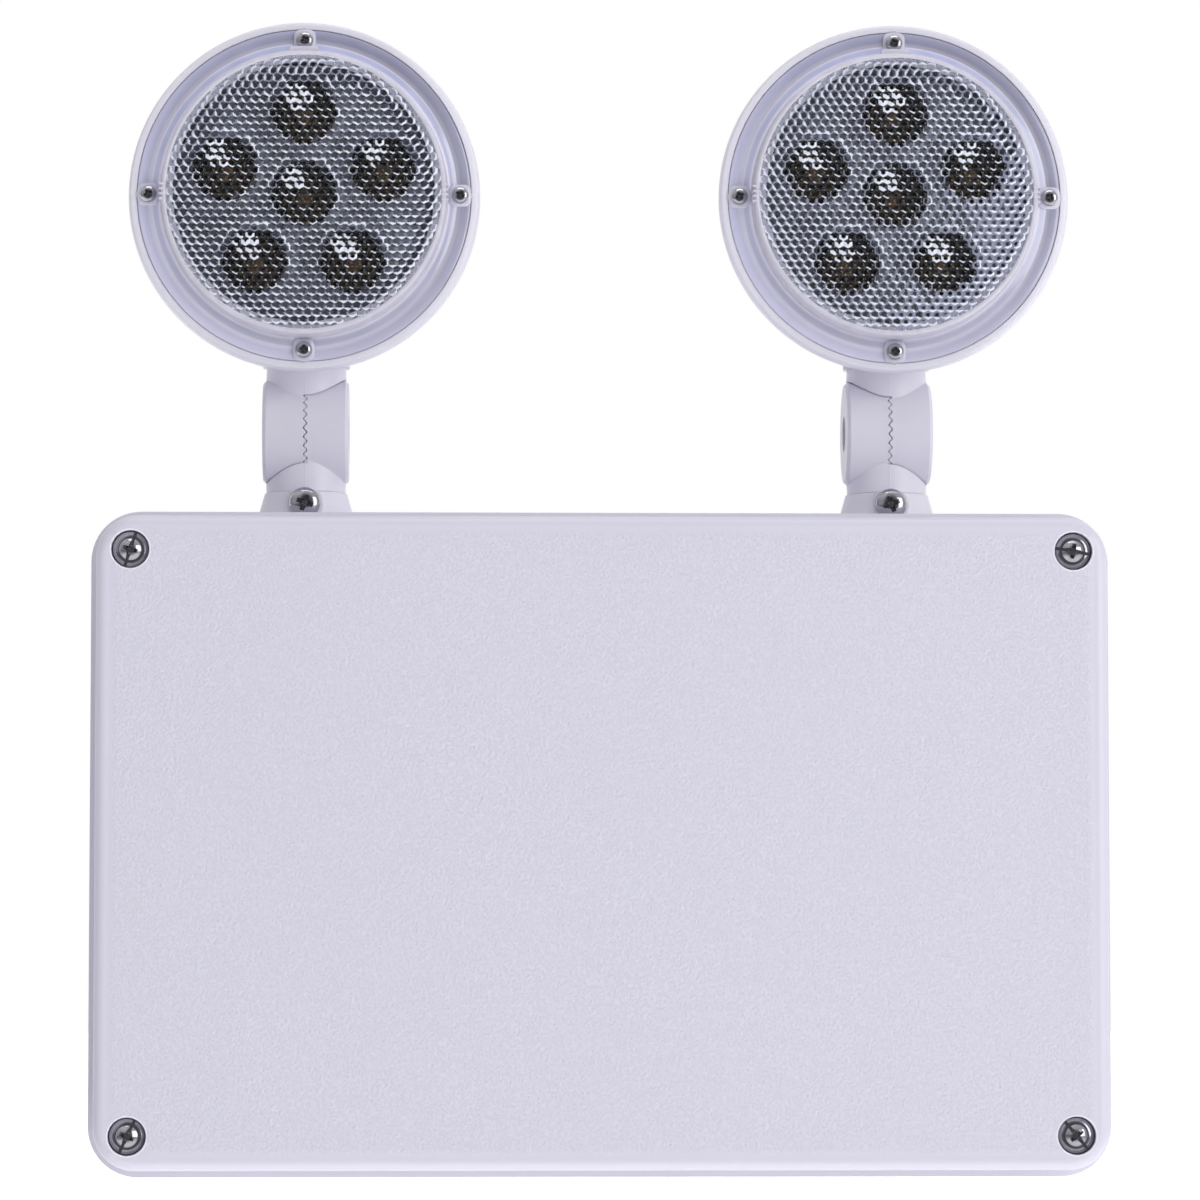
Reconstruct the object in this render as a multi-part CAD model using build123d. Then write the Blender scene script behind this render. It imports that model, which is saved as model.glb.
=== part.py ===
"""Wall-mounted emergency light: a sealed battery housing with two adjustable lamp heads.

Frame: +X right, +Z up, the front faces -Y, and the wall plane is y = 0.
The origin is the centre of the wall hole pattern in the back of the housing.
All lengths are millimetres. Depths are measured from the wall towards the front.
"""

import math
import os

from build123d import *

# Housing
HOUSING_W = 286.0
HOUSING_H = 186.0
HOUSING_D = 92.0
HOUSING_CORNER_R = 14.0
HOUSING_WALL = 3.0
HOUSING_BACK_EDGE_R = 3.0
RIM_W = 9.5
RIM_D = 10.0
WALL_HOLE_R = 2.75
WALL_HOLE_DX = 240.0
WALL_HOLE_DZ = 150.0
ENTRY_R = 11.1
ENTRY_X = -50.0
ENTRY_Z = 42.0
ENTRY_BOSS_WALL = 3.5
ENTRY_BOSS_H = 5.0

# Gasket between housing and cover
GASKET_EDGE = 4.5
GASKET_W = 2.8
GASKET_H = 2.6
GROOVE_SIDE_GAP = 0.1

# Front cover
COVER_STEP = 2.5
COVER_D = 20.0
COVER_WALL = 3.0
COVER_EDGE_R = 3.0
COVER_RIM_D = 4.0
COVER_RIB_T = 1.6
COVER_RIB_D = 5.0
COVER_RIB_X = 45.0

# Cover screws, in the corners
COVER_SCREW_DX = 262.0
COVER_SCREW_DZ = 162.0
COVER_SCREW_R = 2.5
COVER_SCREW_HEAD_R = 4.75
COVER_SCREW_HEAD_H = 3.2
COVER_SCREW_L = 32.0
COVER_SCREW_ANGLES = (65.0, 72.0, 40.0, 80.0)
COVER_RECESS_R = 5.3
COVER_RECESS_D = 4.4
COVER_COLUMN_R = 7.6
HOUSING_COLUMN_R = 9.5
SEAL_H = 0.8
SEAL_WALL = 1.6
THREAD_GAP = 0.05
HOLE_GAP = 0.25

# Lamp arms, at each end of the housing top
ARM_SPACING = 168.0
ARM_DEPTH = 52.0
COLLAR_H = 8.5
COLLAR_BASE_R = 14.3
COLLAR_TOP_R = 11.9
COLLAR_SPIGOT_R = 11.0
COLLAR_SPIGOT_L = 10.0
COLLAR_NUT_R = 15.5
COLLAR_NUT_H = 5.0
SWIVEL_R = 8.5
SWIVEL_L = 13.0
SWIVEL_GAP = 0.08
CLAMP_Z = 4.8
CLAMP_R = 2.0
CLAMP_HEAD_R = 4.5
CLAMP_HEAD_H = 3.0
CLAMP_BOSS_R = 5.2
CLAMP_BOSS_Y = 14.3
CLAMP_GROOVE_R = 7.0
CLAMP_GROOVE_H = 4.6
CLAMP_TIP_GAP = 0.15
CLAMP_SCREW_ANGLE = 33.0
RING_GROOVE_Z = -2.0
RING_GROOVE_R = 7.3
RING_H = 1.4

# Knuckle: two toothed half discs on one pivot screw
PIVOT_Z = 26.4
KNUCKLE_R = 15.0
KNUCKLE_HALF_W = 12.3
KNUCKLE_EDGE = 0.9
SADDLE_GAP = 0.3
NECK_R = 11.4
TOOTH_COUNT = 36
TOOTH_H = 0.55
TOOTH_INNER_R = 8.2
TOOTH_GAP = 0.1
WIRE_RING_R = 7.6
WIRE_RING_D = 4.5
HUB_R = 4.8
WIRE_BORE_R = 2.2
WIRE_BORE_X = 3.0
PIVOT_SCREW_R = 2.5
PIVOT_SCREW_HEAD_R = 4.5
PIVOT_SCREW_HEAD_H = 3.2
PIVOT_GAP = 0.08
PIVOT_RECESS_R = 5.2
PIVOT_RECESS_D = 4.2
PIVOT_SCREW_ANGLE = 20.0
INSERT_R = 3.6
INSERT_L = 6.0
INSERT_SET_BACK = 2.4

# Lamp head: a shell turned about an axis that points forward
HEAD_RISE = 64.8
HEAD_FACE_Y = 30.0
HEAD_R = 50.0
HEAD_EDGE_R = 49.5
HEAD_EDGE_D = 3.3
HEAD_D = 46.0
HEAD_BACK_R = 41.5
HEAD_BACK_ROUND = 10.0
HEAD_FRONT_ROUND = 0.9
HEAD_WALL = 2.6
LENS_SEAT_R = 47.5
LENS_SEAT_D = 3.2
LEDGE_R = 38.9
LEDGE_H = 2.5
NECK_BOSS_R = 12.5
NECK_BOSS_DROP = 46.1
NECK_SPIGOT_R = 6.0
NECK_PAD_R = 9.0
NECK_PAD_DROP = 39.7
NECK_NUT_R = 8.8
NECK_NUT_H = 3.0
NECK_SPIGOT_PROUD = 0.8
BOARD_POST_R = 2.5
BOARD_POST_AT = 27.0
BOARD_POST_COUNT = 3

# Lens
LENS_R = 47.2
LENS_T = 2.5
LENS_CAP_R = 41.0
LENS_CAP_TOP_R = 39.6
LENS_CAP_H = 8.0
LENS_CAP_EDGE = 0.8
LENS_CAP_WALL = 2.2
LENS_SCREW_AT = 44.25
LENS_SCREW_COUNT = 4
LENS_SCREW_R = 1.45
LENS_SCREW_HEAD_R = 2.4
LENS_SCREW_HEAD_H = 1.8
LENS_SCREW_L = 12.0
LENS_SCREW_ANGLE = 25.0
LENS_BOSS_HALF = 3.1
LENS_BOSS_H = 0.8
LENS_BOSS_TIP = 2.6
LENS_COLUMN_R = 3.2
LENS_COLUMN_L = 14.0
LENS_GASKET_R = 41.1
LENS_GASKET_W = 1.2
LENS_GASKET_H = 1.4

# Reflector and light source
REFLECTOR_R = 37.3
REFLECTOR_RIM_R = 40.6
REFLECTOR_FRONT = 3.0
REFLECTOR_T = 1.2
CUP_COUNT = 5
CUP_RING_R = 23.5
CUP_R = 9.0
CUP_BOTTOM_R = 2.6
CUP_D = 12.0
CUP_WALL = 0.8
LED_BOARD_R = 35.5
LED_BOARD_T = 1.6
LED_SIZE = 3.4
LED_H = 1.2

# Test switch and charge indicator, recessed in the underside
POCKET_X = 60.0
POCKET_DEPTH_Y = 45.0
POCKET_R = 11.0
POCKET_WALL = 2.5
POCKET_SPACING = 25.0
POCKET_D = 6.0
SWITCH_BUSH_R = 6.0
SWITCH_BUSH_DROP = 3.0
SWITCH_BODY = 17.0
SWITCH_BODY_H = 18.0
SWITCH_NUT_R = 8.5
SWITCH_NUT_H = 2.0
BUTTON_R = 4.0
BUTTON_GAP = 0.1
BUTTON_L = 12.0
BUTTON_SET_BACK = 1.0
BUTTON_TRAVEL = 2.5
BUTTON_END_GAP = 0.5
BUTTON_EDGE = 0.5
LAMP_R = 4.0
LAMP_BEZEL_R = 6.0
LAMP_BEZEL_H = 1.5
LAMP_L = 16.0
LAMP_DOME_H = 1.5
LAMP_SHOULDER_R = 2.4
LAMP_SHOULDER_H = 1.2

# Battery and its bracket
BATTERY_W = 107.0
BATTERY_H = 70.0
BATTERY_T = 47.0
BATTERY_X = -58.0
BATTERY_EDGE = 1.5
BATTERY_TAB_IN = 12.0
BATTERY_TAB_W = 6.5
BATTERY_TAB_H = 6.0
BATTERY_TAB_T = 0.8
BRACKET_W = 22.0
BRACKET_T = 1.5
BRACKET_FLANGE = 16.0
BRACKET_LIP = 24.0
BRACKET_SCREW_R = 2.0
BRACKET_SCREW_HEAD_R = 3.8
BRACKET_SCREW_HEAD_H = 2.4
BRACKET_SCREW_L = 4.0
BRACKET_BOSS_R = 4.5
BRACKET_BOSS_H = 3.0

# Control board
BOARD_W = 120.0
BOARD_H = 86.0
BOARD_T = 1.6
BOARD_X = 66.0
BOARD_Z = 12.0
BOARD_LIFT = 10.0
BOARD_HOLE_IN = 5.0
BOARD_SCREW_R = 1.5
BOARD_SCREW_HEAD_R = 2.8
BOARD_SCREW_HEAD_H = 2.0
BOARD_SCREW_L = 6.0
BOARD_STANDOFF_R = 3.5
TRANSFORMER_W = 48.0
TRANSFORMER_H = 40.0
TRANSFORMER_T = 32.0
TRANSFORMER_X = 28.0
TRANSFORMER_Z = -4.0
COIL_OUT = 8.0
RELAY_W = 20.0
RELAY_H = 16.0
RELAY_T = 15.0
RELAY_X = -22.0
RELAY_Z = -22.0
CAPACITOR_R = 6.5
CAPACITOR_L = 24.0
CAPACITOR_X = -36.0
CAPACITOR_Z = 6.0
CAPACITOR_SPACING = 16.0
TERMINAL_W = 42.0
TERMINAL_H = 11.0
TERMINAL_T = 13.0
TERMINAL_X = -26.0
TERMINAL_Z = 34.0
TERMINAL_WAYS = 6

# Screw heads, as shares of the head's radius or height
HEAD_SIDE_SHARE = 0.5
HEAD_SHOULDER_R_SHARE = 0.8
HEAD_SHOULDER_H_SHARE = 0.87
HEAD_CROWN_R_SHARE = 0.4
CROSS_LENGTH_SHARE = 1.1
CROSS_WIDTH_SHARE = 0.24

# Places that follow from the sizes above
TOP_Z = HOUSING_H / 2
FLOOR_Z = -HOUSING_H / 2 + HOUSING_WALL
POCKET_FLOOR_Z = -HOUSING_H / 2 + POCKET_D
SWITCH_X = POCKET_X - POCKET_SPACING / 2
LAMP_X = POCKET_X + POCKET_SPACING / 2
BUTTON_LOW_Z = -HOUSING_H / 2 + BUTTON_SET_BACK
BATTERY_TOP_Z = FLOOR_Z + BATTERY_H
BRACKET_SCREW_Z = BATTERY_TOP_Z + BRACKET_T + BRACKET_FLANGE / 2
BRACKET_SCREW_XS = (BATTERY_X - BRACKET_W / 4, BATTERY_X + BRACKET_W / 4)
BOARD_BACK_Y = -HOUSING_WALL - BOARD_LIFT
BOARD_FRONT_Y = BOARD_BACK_Y - BOARD_T
TOTAL_D = HOUSING_D + COVER_D
TOOTH_PEAK_X = TOOTH_GAP / 2
TOOTH_VALLEY_X = TOOTH_PEAK_X + TOOTH_H
SADDLE_R = KNUCKLE_R + SADDLE_GAP
HEAD_Z = PIVOT_Z + HEAD_RISE
HEAD_ORIGIN = (0, -HEAD_FACE_Y, HEAD_Z)
FORWARD = (0, -1, 0)
CUP_BACK = REFLECTOR_FRONT - CUP_D
LED_BOARD_BACK = CUP_BACK - LED_BOARD_T


def slab(width, height, corner_r, depth_from, depth_to):
    """Rounded rectangle seen from the front, between two depths from the wall."""
    outline = Plane.XZ.offset(depth_from) * RectangleRounded(width, height, corner_r)
    return extrude(outline, depth_to - depth_from)


def block(x_span, y_span, z_span):
    """Box between three pairs of limits."""
    spans = (x_span, y_span, z_span)
    sizes = [high - low for low, high in spans]
    middles = [(high + low) / 2 for low, high in spans]
    return Pos(*middles) * Box(*sizes)


def rod(radius, start, end):
    """Round bar between two points."""
    axis = Vector(*end) - Vector(*start)
    return extrude(Plane(origin=start, z_dir=axis) * Circle(radius), axis.length)


def turned(outline, origin=(0, 0, 0), direction=(0, 0, 1)):
    """Solid of revolution; the outline is (radius, height) points along the direction."""
    section = make_face(Polyline(*[(r, 0, h) for r, h in outline], close=True))
    return Plane(origin=origin, z_dir=direction) * revolve(section, Axis.Z)


def tube(outer_r, inner_r, start, end, origin=(0, 0, 0), direction=(0, 0, 1)):
    """Ring with a rectangular section."""
    outline = [(inner_r, start), (outer_r, start), (outer_r, end), (inner_r, end)]
    return turned(outline, origin, direction)


def pan_screw(origin, direction, head_r, head_h, shank_r, length, turn=0.0):
    """Pan head screw with a cross recess; the origin is under the head."""
    outline = [
        (0, -length),
        (shank_r, -length),
        (shank_r, 0),
        (head_r, 0),
        (head_r, HEAD_SIDE_SHARE * head_h),
        (HEAD_SHOULDER_R_SHARE * head_r, HEAD_SHOULDER_H_SHARE * head_h),
        (HEAD_CROWN_R_SHARE * head_r, head_h),
        (0, head_h),
    ]
    screw = turned(outline)
    arm = Box(CROSS_LENGTH_SHARE * head_r, CROSS_WIDTH_SHARE * head_r, head_h)
    for angle in (turn, turn + 90):
        screw -= Pos(0, 0, head_h) * Rot(Z=angle) * arm
    return Plane(origin=origin, z_dir=direction) * screw


def four_corners(dx, dz):
    """Centres of a rectangular pattern."""
    return [(sx * dx / 2, sz * dz / 2) for sx in (-1, 1) for sz in (-1, 1)]


def around(count, radius, start=90.0):
    """Centres of a ring pattern, as (across, up) pairs."""
    angles = [math.radians(start + 360 * i / count) for i in range(count)]
    return [(radius * math.cos(a), radius * math.sin(a)) for a in angles]


def on_head(across, up, forward):
    """Point given from the centre of the lamp head's face."""
    return (across, -HEAD_FACE_Y - forward, HEAD_Z + up)


# Housing and cover


def underside_pocket(radius, z_low, z_high):
    """Long round-ended block under the switch and the indicator."""
    outline = SlotCenterToCenter(POCKET_SPACING, 2 * radius)
    return Pos(POCKET_X, -POCKET_DEPTH_Y, z_low) * extrude(outline, z_high - z_low)


def arm_places():
    """Stem axes of the left and the right arm."""
    return [(-ARM_SPACING / 2, -ARM_DEPTH), (ARM_SPACING / 2, -ARM_DEPTH)]


def board_holes():
    """Fixing holes of the control board."""
    inside_w = BOARD_W - 2 * BOARD_HOLE_IN
    inside_h = BOARD_H - 2 * BOARD_HOLE_IN
    return [(BOARD_X + x, BOARD_Z + z) for x, z in four_corners(inside_w, inside_h)]


def rear_housing():
    body = slab(HOUSING_W, HOUSING_H, HOUSING_CORNER_R, 0, HOUSING_D)
    body = fillet(body.faces().sort_by(Axis.Y)[-1].edges(), HOUSING_BACK_EDGE_R)
    inside = HOUSING_D - RIM_D
    body -= slab(
        HOUSING_W - 2 * HOUSING_WALL,
        HOUSING_H - 2 * HOUSING_WALL,
        HOUSING_CORNER_R - HOUSING_WALL,
        HOUSING_WALL,
        inside,
    )
    body -= slab(
        HOUSING_W - 2 * RIM_W,
        HOUSING_H - 2 * RIM_W,
        HOUSING_CORNER_R - RIM_W,
        inside,
        HOUSING_D,
    )
    for x, z in four_corners(COVER_SCREW_DX, COVER_SCREW_DZ):
        body += rod(HOUSING_COLUMN_R, (x, -HOUSING_WALL, z), (x, -HOUSING_D, z))
    for x, z in board_holes():
        body += rod(BOARD_STANDOFF_R, (x, -HOUSING_WALL, z), (x, -HOUSING_WALL - BOARD_LIFT, z))
    for x in BRACKET_SCREW_XS:
        start = (x, -HOUSING_WALL, BRACKET_SCREW_Z)
        body += rod(BRACKET_BOSS_R, start, (x, -HOUSING_WALL - BRACKET_BOSS_H, BRACKET_SCREW_Z))
    entry_back = (ENTRY_X, 0, ENTRY_Z)
    entry_front = (ENTRY_X, -HOUSING_WALL - ENTRY_BOSS_H, ENTRY_Z)
    body += rod(ENTRY_R + ENTRY_BOSS_WALL, (ENTRY_X, -HOUSING_WALL, ENTRY_Z), entry_front)
    outer_pocket = POCKET_R + POCKET_WALL
    body += underside_pocket(outer_pocket, -HOUSING_H / 2 + HOUSING_WALL / 2, POCKET_FLOOR_Z + POCKET_WALL)

    body -= underside_pocket(POCKET_R, -HOUSING_H / 2, POCKET_FLOOR_Z)
    body -= rod(ENTRY_R, entry_back, entry_front)
    body -= gasket_ring(GASKET_W + 2 * GROOVE_SIDE_GAP, HOUSING_D - GASKET_H, HOUSING_D)
    for x, z in four_corners(COVER_SCREW_DX, COVER_SCREW_DZ):
        depth = COVER_SCREW_L + HOLE_GAP
        top = TOTAL_D - COVER_RECESS_D + SEAL_H
        body -= rod(COVER_SCREW_R + THREAD_GAP, (x, -(top - depth), z), (x, -HOUSING_D, z))
    for x, z in four_corners(WALL_HOLE_DX, WALL_HOLE_DZ):
        body -= rod(WALL_HOLE_R, (x, 0, z), (x, -HOUSING_WALL, z))
    for x, z in board_holes():
        top = HOUSING_WALL + BOARD_LIFT
        hole = rod(BOARD_SCREW_R + THREAD_GAP, (x, -(top - BOARD_SCREW_L), z), (x, -top, z))
        body -= hole
    for x in BRACKET_SCREW_XS:
        top = HOUSING_WALL + BRACKET_BOSS_H
        start = (x, -(top - BRACKET_SCREW_L), BRACKET_SCREW_Z)
        body -= rod(BRACKET_SCREW_R + THREAD_GAP, start, (x, -top, BRACKET_SCREW_Z))
    for x, y in arm_places():
        hole_r = COLLAR_SPIGOT_R + THREAD_GAP
        body -= rod(hole_r, (x, y, TOP_Z - HOUSING_WALL), (x, y, TOP_Z))
    hole_top = POCKET_FLOOR_Z + POCKET_WALL
    for x, radius in ((SWITCH_X, SWITCH_BUSH_R), (LAMP_X, LAMP_R)):
        low = (x, -POCKET_DEPTH_Y, POCKET_FLOOR_Z)
        body -= rod(radius + THREAD_GAP, low, (x, -POCKET_DEPTH_Y, hole_top))
    return body


def gasket_ring(width, depth_from, depth_to):
    """Frame-shaped ring that follows the rim, centred on the gasket line."""
    middle = GASKET_EDGE + GASKET_W / 2
    outer = middle - width / 2
    inner = middle + width / 2
    ring = slab(
        HOUSING_W - 2 * outer,
        HOUSING_H - 2 * outer,
        HOUSING_CORNER_R - outer,
        depth_from,
        depth_to,
    )
    ring -= slab(
        HOUSING_W - 2 * inner,
        HOUSING_H - 2 * inner,
        HOUSING_CORNER_R - inner,
        depth_from,
        depth_to,
    )
    return ring


def front_cover():
    outer_w = HOUSING_W - 2 * COVER_STEP
    outer_h = HOUSING_H - 2 * COVER_STEP
    outer_r = HOUSING_CORNER_R - COVER_STEP
    body = slab(outer_w, outer_h, outer_r, HOUSING_D, TOTAL_D)
    body = fillet(body.faces().sort_by(Axis.Y)[0].edges(), COVER_EDGE_R)
    rim_top = HOUSING_D + COVER_RIM_D
    body -= slab(
        HOUSING_W - 2 * RIM_W,
        HOUSING_H - 2 * RIM_W,
        HOUSING_CORNER_R - RIM_W,
        HOUSING_D,
        rim_top,
    )
    body -= slab(
        outer_w - 2 * COVER_WALL,
        outer_h - 2 * COVER_WALL,
        outer_r - COVER_WALL,
        rim_top,
        TOTAL_D - COVER_WALL,
    )
    for rib in cover_ribs(outer_w - COVER_WALL, outer_h - COVER_WALL):
        body += rib
    for x, z in four_corners(COVER_SCREW_DX, COVER_SCREW_DZ):
        body += rod(COVER_COLUMN_R, (x, -HOUSING_D, z), (x, -(TOTAL_D - COVER_WALL), z))
        seat = TOTAL_D - COVER_RECESS_D
        body -= rod(COVER_RECESS_R, (x, -seat, z), (x, -TOTAL_D, z))
        body -= rod(COVER_SCREW_R + HOLE_GAP, (x, -HOUSING_D, z), (x, -seat, z))
    return body


def cover_ribs(width, height):
    """Stiffening ribs behind the face: two upright and one across."""
    face_y = -(TOTAL_D - COVER_WALL)
    y_span = (face_y, face_y + COVER_RIB_D)
    half = COVER_RIB_T / 2
    ribs = [block((-width / 2, width / 2), y_span, (-half, half))]
    for x in (-COVER_RIB_X, COVER_RIB_X):
        ribs.append(block((x - half, x + half), y_span, (-height / 2, height / 2)))
    return ribs


def cover_screws():
    seat = TOTAL_D - COVER_RECESS_D + SEAL_H
    screws = []
    places = four_corners(COVER_SCREW_DX, COVER_SCREW_DZ)
    for (x, z), turn in zip(places, COVER_SCREW_ANGLES):
        screws.append(
            pan_screw(
                (x, -seat, z),
                FORWARD,
                COVER_SCREW_HEAD_R,
                COVER_SCREW_HEAD_H,
                COVER_SCREW_R,
                COVER_SCREW_L,
                turn,
            )
        )
    return Compound(children=screws)


def cover_screw_seals():
    seat = TOTAL_D - COVER_RECESS_D
    inner = COVER_SCREW_R + HOLE_GAP
    seals = []
    for x, z in four_corners(COVER_SCREW_DX, COVER_SCREW_DZ):
        seals.append(tube(inner + SEAL_WALL, inner, 0, SEAL_H, (x, -seat, z), FORWARD))
    return Compound(children=seals)


# Inside the housing


def battery_pack():
    back = -HOUSING_WALL
    x_span = (BATTERY_X - BATTERY_W / 2, BATTERY_X + BATTERY_W / 2)
    case = block(x_span, (back - BATTERY_T, back), (FLOOR_Z, BATTERY_TOP_Z))
    case = chamfer(case.edges().filter_by(Axis.Z), BATTERY_EDGE)
    for x in (x_span[0] + BATTERY_TAB_IN, x_span[1] - BATTERY_TAB_IN):
        tab_x = (x - BATTERY_TAB_W / 2, x + BATTERY_TAB_W / 2)
        middle = back - BATTERY_T / 2
        tab_y = (middle - BATTERY_TAB_T / 2, middle + BATTERY_TAB_T / 2)
        case += block(tab_x, tab_y, (BATTERY_TOP_Z, BATTERY_TOP_Z + BATTERY_TAB_H))
    return case


def battery_bracket():
    """Steel strap: a flange on two bosses, a top run over the battery and a front lip."""
    flange_y = -HOUSING_WALL - BRACKET_BOSS_H
    front_y = -HOUSING_WALL - BATTERY_T - BRACKET_T
    low, high = BATTERY_TOP_Z, BATTERY_TOP_Z + BRACKET_T
    outline = [
        (flange_y, high + BRACKET_FLANGE),
        (flange_y, low),
        (front_y + BRACKET_T, low),
        (front_y + BRACKET_T, low - BRACKET_LIP),
        (front_y, low - BRACKET_LIP),
        (front_y, high),
        (flange_y - BRACKET_T, high),
        (flange_y - BRACKET_T, high + BRACKET_FLANGE),
    ]
    start_x = BATTERY_X - BRACKET_W / 2
    section = make_face(Polyline(*[(start_x, y, z) for y, z in outline], close=True))
    strap = extrude(section, BRACKET_W, dir=(1, 0, 0))
    for x in BRACKET_SCREW_XS:
        start = (x, flange_y, BRACKET_SCREW_Z)
        end = (x, flange_y - BRACKET_T, BRACKET_SCREW_Z)
        strap -= rod(BRACKET_SCREW_R + HOLE_GAP, start, end)
    return strap


def bracket_screws():
    seat_y = -HOUSING_WALL - BRACKET_BOSS_H - BRACKET_T
    length = BRACKET_SCREW_L + BRACKET_T - HOLE_GAP
    screws = []
    for x in BRACKET_SCREW_XS:
        screws.append(
            pan_screw(
                (x, seat_y, BRACKET_SCREW_Z),
                FORWARD,
                BRACKET_SCREW_HEAD_R,
                BRACKET_SCREW_HEAD_H,
                BRACKET_SCREW_R,
                length,
            )
        )
    return Compound(children=screws)


def on_board(x, z, width, height, thick):
    """Box on the front of the control board, by its centre from the board's centre."""
    cx, cz = BOARD_X + x, BOARD_Z + z
    x_span = (cx - width / 2, cx + width / 2)
    z_span = (cz - height / 2, cz + height / 2)
    return block(x_span, (BOARD_FRONT_Y - thick, BOARD_FRONT_Y), z_span)


def control_board():
    x_span = (BOARD_X - BOARD_W / 2, BOARD_X + BOARD_W / 2)
    z_span = (BOARD_Z - BOARD_H / 2, BOARD_Z + BOARD_H / 2)
    board = block(x_span, (BOARD_FRONT_Y, BOARD_BACK_Y), z_span)
    for x, z in board_holes():
        board -= rod(BOARD_SCREW_R + HOLE_GAP, (x, BOARD_BACK_Y, z), (x, BOARD_FRONT_Y, z))
    return board


def board_screws():
    length = BOARD_SCREW_L + BOARD_T - HOLE_GAP
    screws = []
    for x, z in board_holes():
        screws.append(
            pan_screw(
                (x, BOARD_FRONT_Y, z),
                FORWARD,
                BOARD_SCREW_HEAD_R,
                BOARD_SCREW_HEAD_H,
                BOARD_SCREW_R,
                length,
            )
        )
    return Compound(children=screws)


def transformer():
    x, z = TRANSFORMER_X, TRANSFORMER_Z
    core = on_board(x, z, TRANSFORMER_W, TRANSFORMER_H, TRANSFORMER_T)
    coil_w = TRANSFORMER_W - 2 * COIL_OUT
    coil_h = TRANSFORMER_H + 2 * COIL_OUT
    return core + on_board(x, z, coil_w, coil_h, TRANSFORMER_T / 2)


def relay():
    return on_board(RELAY_X, RELAY_Z, RELAY_W, RELAY_H, RELAY_T)


def capacitors():
    cans = []
    z = BOARD_Z + CAPACITOR_Z
    for side in (-1, 1):
        x = BOARD_X + CAPACITOR_X + side * CAPACITOR_SPACING / 2
        cans.append(rod(CAPACITOR_R, (x, BOARD_FRONT_Y, z), (x, BOARD_FRONT_Y - CAPACITOR_L, z)))
    return Compound(children=cans)


def terminal_block():
    """Moulded strip with a wire slot in each way."""
    width, height, thick = TERMINAL_W, TERMINAL_H, TERMINAL_T
    x, z = TERMINAL_X, TERMINAL_Z
    strip = on_board(x, z, width, height, thick)
    pitch = width / TERMINAL_WAYS
    for i in range(TERMINAL_WAYS):
        slot_x = BOARD_X + x - width / 2 + pitch * (i + 0.5)
        x_span = (slot_x - pitch / 4, slot_x + pitch / 4)
        z_span = (BOARD_Z + z + height / 4, BOARD_Z + z + height / 2)
        y_front = BOARD_FRONT_Y - thick
        strip -= block(x_span, (y_front + thick / 4, y_front + 3 * thick / 4), z_span)
    return strip


def test_switch():
    """Threaded bush through the pocket floor, with a square body above it."""
    centre = (SWITCH_X, -POCKET_DEPTH_Y, 0)
    top = POCKET_FLOOR_Z + POCKET_WALL
    bush_low = POCKET_FLOOR_Z - SWITCH_BUSH_DROP
    half = SWITCH_BODY / 2
    x_span = (SWITCH_X - half, SWITCH_X + half)
    y_span = (-POCKET_DEPTH_Y - half, -POCKET_DEPTH_Y + half)
    body = block(x_span, y_span, (top, top + SWITCH_BODY_H))
    body += turned([(0, bush_low), (SWITCH_BUSH_R, bush_low), (SWITCH_BUSH_R, top), (0, top)], centre)
    bore_r = BUTTON_R + BUTTON_GAP
    bore_top = BUTTON_LOW_Z + BUTTON_L + BUTTON_TRAVEL + BUTTON_END_GAP
    bore = rod(bore_r, (SWITCH_X, -POCKET_DEPTH_Y, bush_low), (SWITCH_X, -POCKET_DEPTH_Y, bore_top))
    return body - bore


def test_switch_nut():
    ring = Pos(SWITCH_X, -POCKET_DEPTH_Y, POCKET_FLOOR_Z - SWITCH_NUT_H) * extrude(
        RegularPolygon(SWITCH_NUT_R, 6), SWITCH_NUT_H
    )
    low = (SWITCH_X, -POCKET_DEPTH_Y, POCKET_FLOOR_Z - SWITCH_NUT_H)
    return ring - rod(SWITCH_BUSH_R + THREAD_GAP, low, (SWITCH_X, -POCKET_DEPTH_Y, POCKET_FLOOR_Z))


def test_button():
    low = BUTTON_LOW_Z
    high = low + BUTTON_L
    edge_r = BUTTON_R - BUTTON_EDGE
    outline = [(0, low), (edge_r, low), (BUTTON_R, low + BUTTON_EDGE), (BUTTON_R, high), (0, high)]
    return turned(outline, (SWITCH_X, -POCKET_DEPTH_Y, 0))


def charge_indicator():
    """Panel lamp: bezel and low dome below the pocket floor, body above it."""
    floor = POCKET_FLOOR_Z
    low = floor - LAMP_BEZEL_H
    outline = [
        (0, low - LAMP_DOME_H),
        (LAMP_SHOULDER_R, low - LAMP_SHOULDER_H),
        (LAMP_R, low),
        (LAMP_BEZEL_R, low),
        (LAMP_BEZEL_R, floor),
        (LAMP_R, floor),
        (LAMP_R, floor + LAMP_L),
        (0, floor + LAMP_L),
    ]
    return turned(outline, (LAMP_X, -POCKET_DEPTH_Y, 0))


# Lamp arm, built about its stem axis with z = 0 on the housing top; +X points to the other arm


def collar():
    outline = [
        (SWIVEL_R + SWIVEL_GAP, -COLLAR_SPIGOT_L),
        (COLLAR_SPIGOT_R, -COLLAR_SPIGOT_L),
        (COLLAR_SPIGOT_R, 0),
        (COLLAR_BASE_R, 0),
        (COLLAR_TOP_R, COLLAR_H),
        (SWIVEL_R + SWIVEL_GAP, COLLAR_H),
    ]
    wall_middle = (SWIVEL_R + COLLAR_TOP_R) / 2
    boss = rod(CLAMP_BOSS_R, (0, -wall_middle, CLAMP_Z), (0, -CLAMP_BOSS_Y, CLAMP_Z))
    boss &= block((-CLAMP_BOSS_R, CLAMP_BOSS_R), (-CLAMP_BOSS_Y, 0), (0, COLLAR_H))
    body = turned(outline) + boss
    return body - rod(CLAMP_R + THREAD_GAP, (0, 0, CLAMP_Z), (0, -CLAMP_BOSS_Y, CLAMP_Z))


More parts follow.
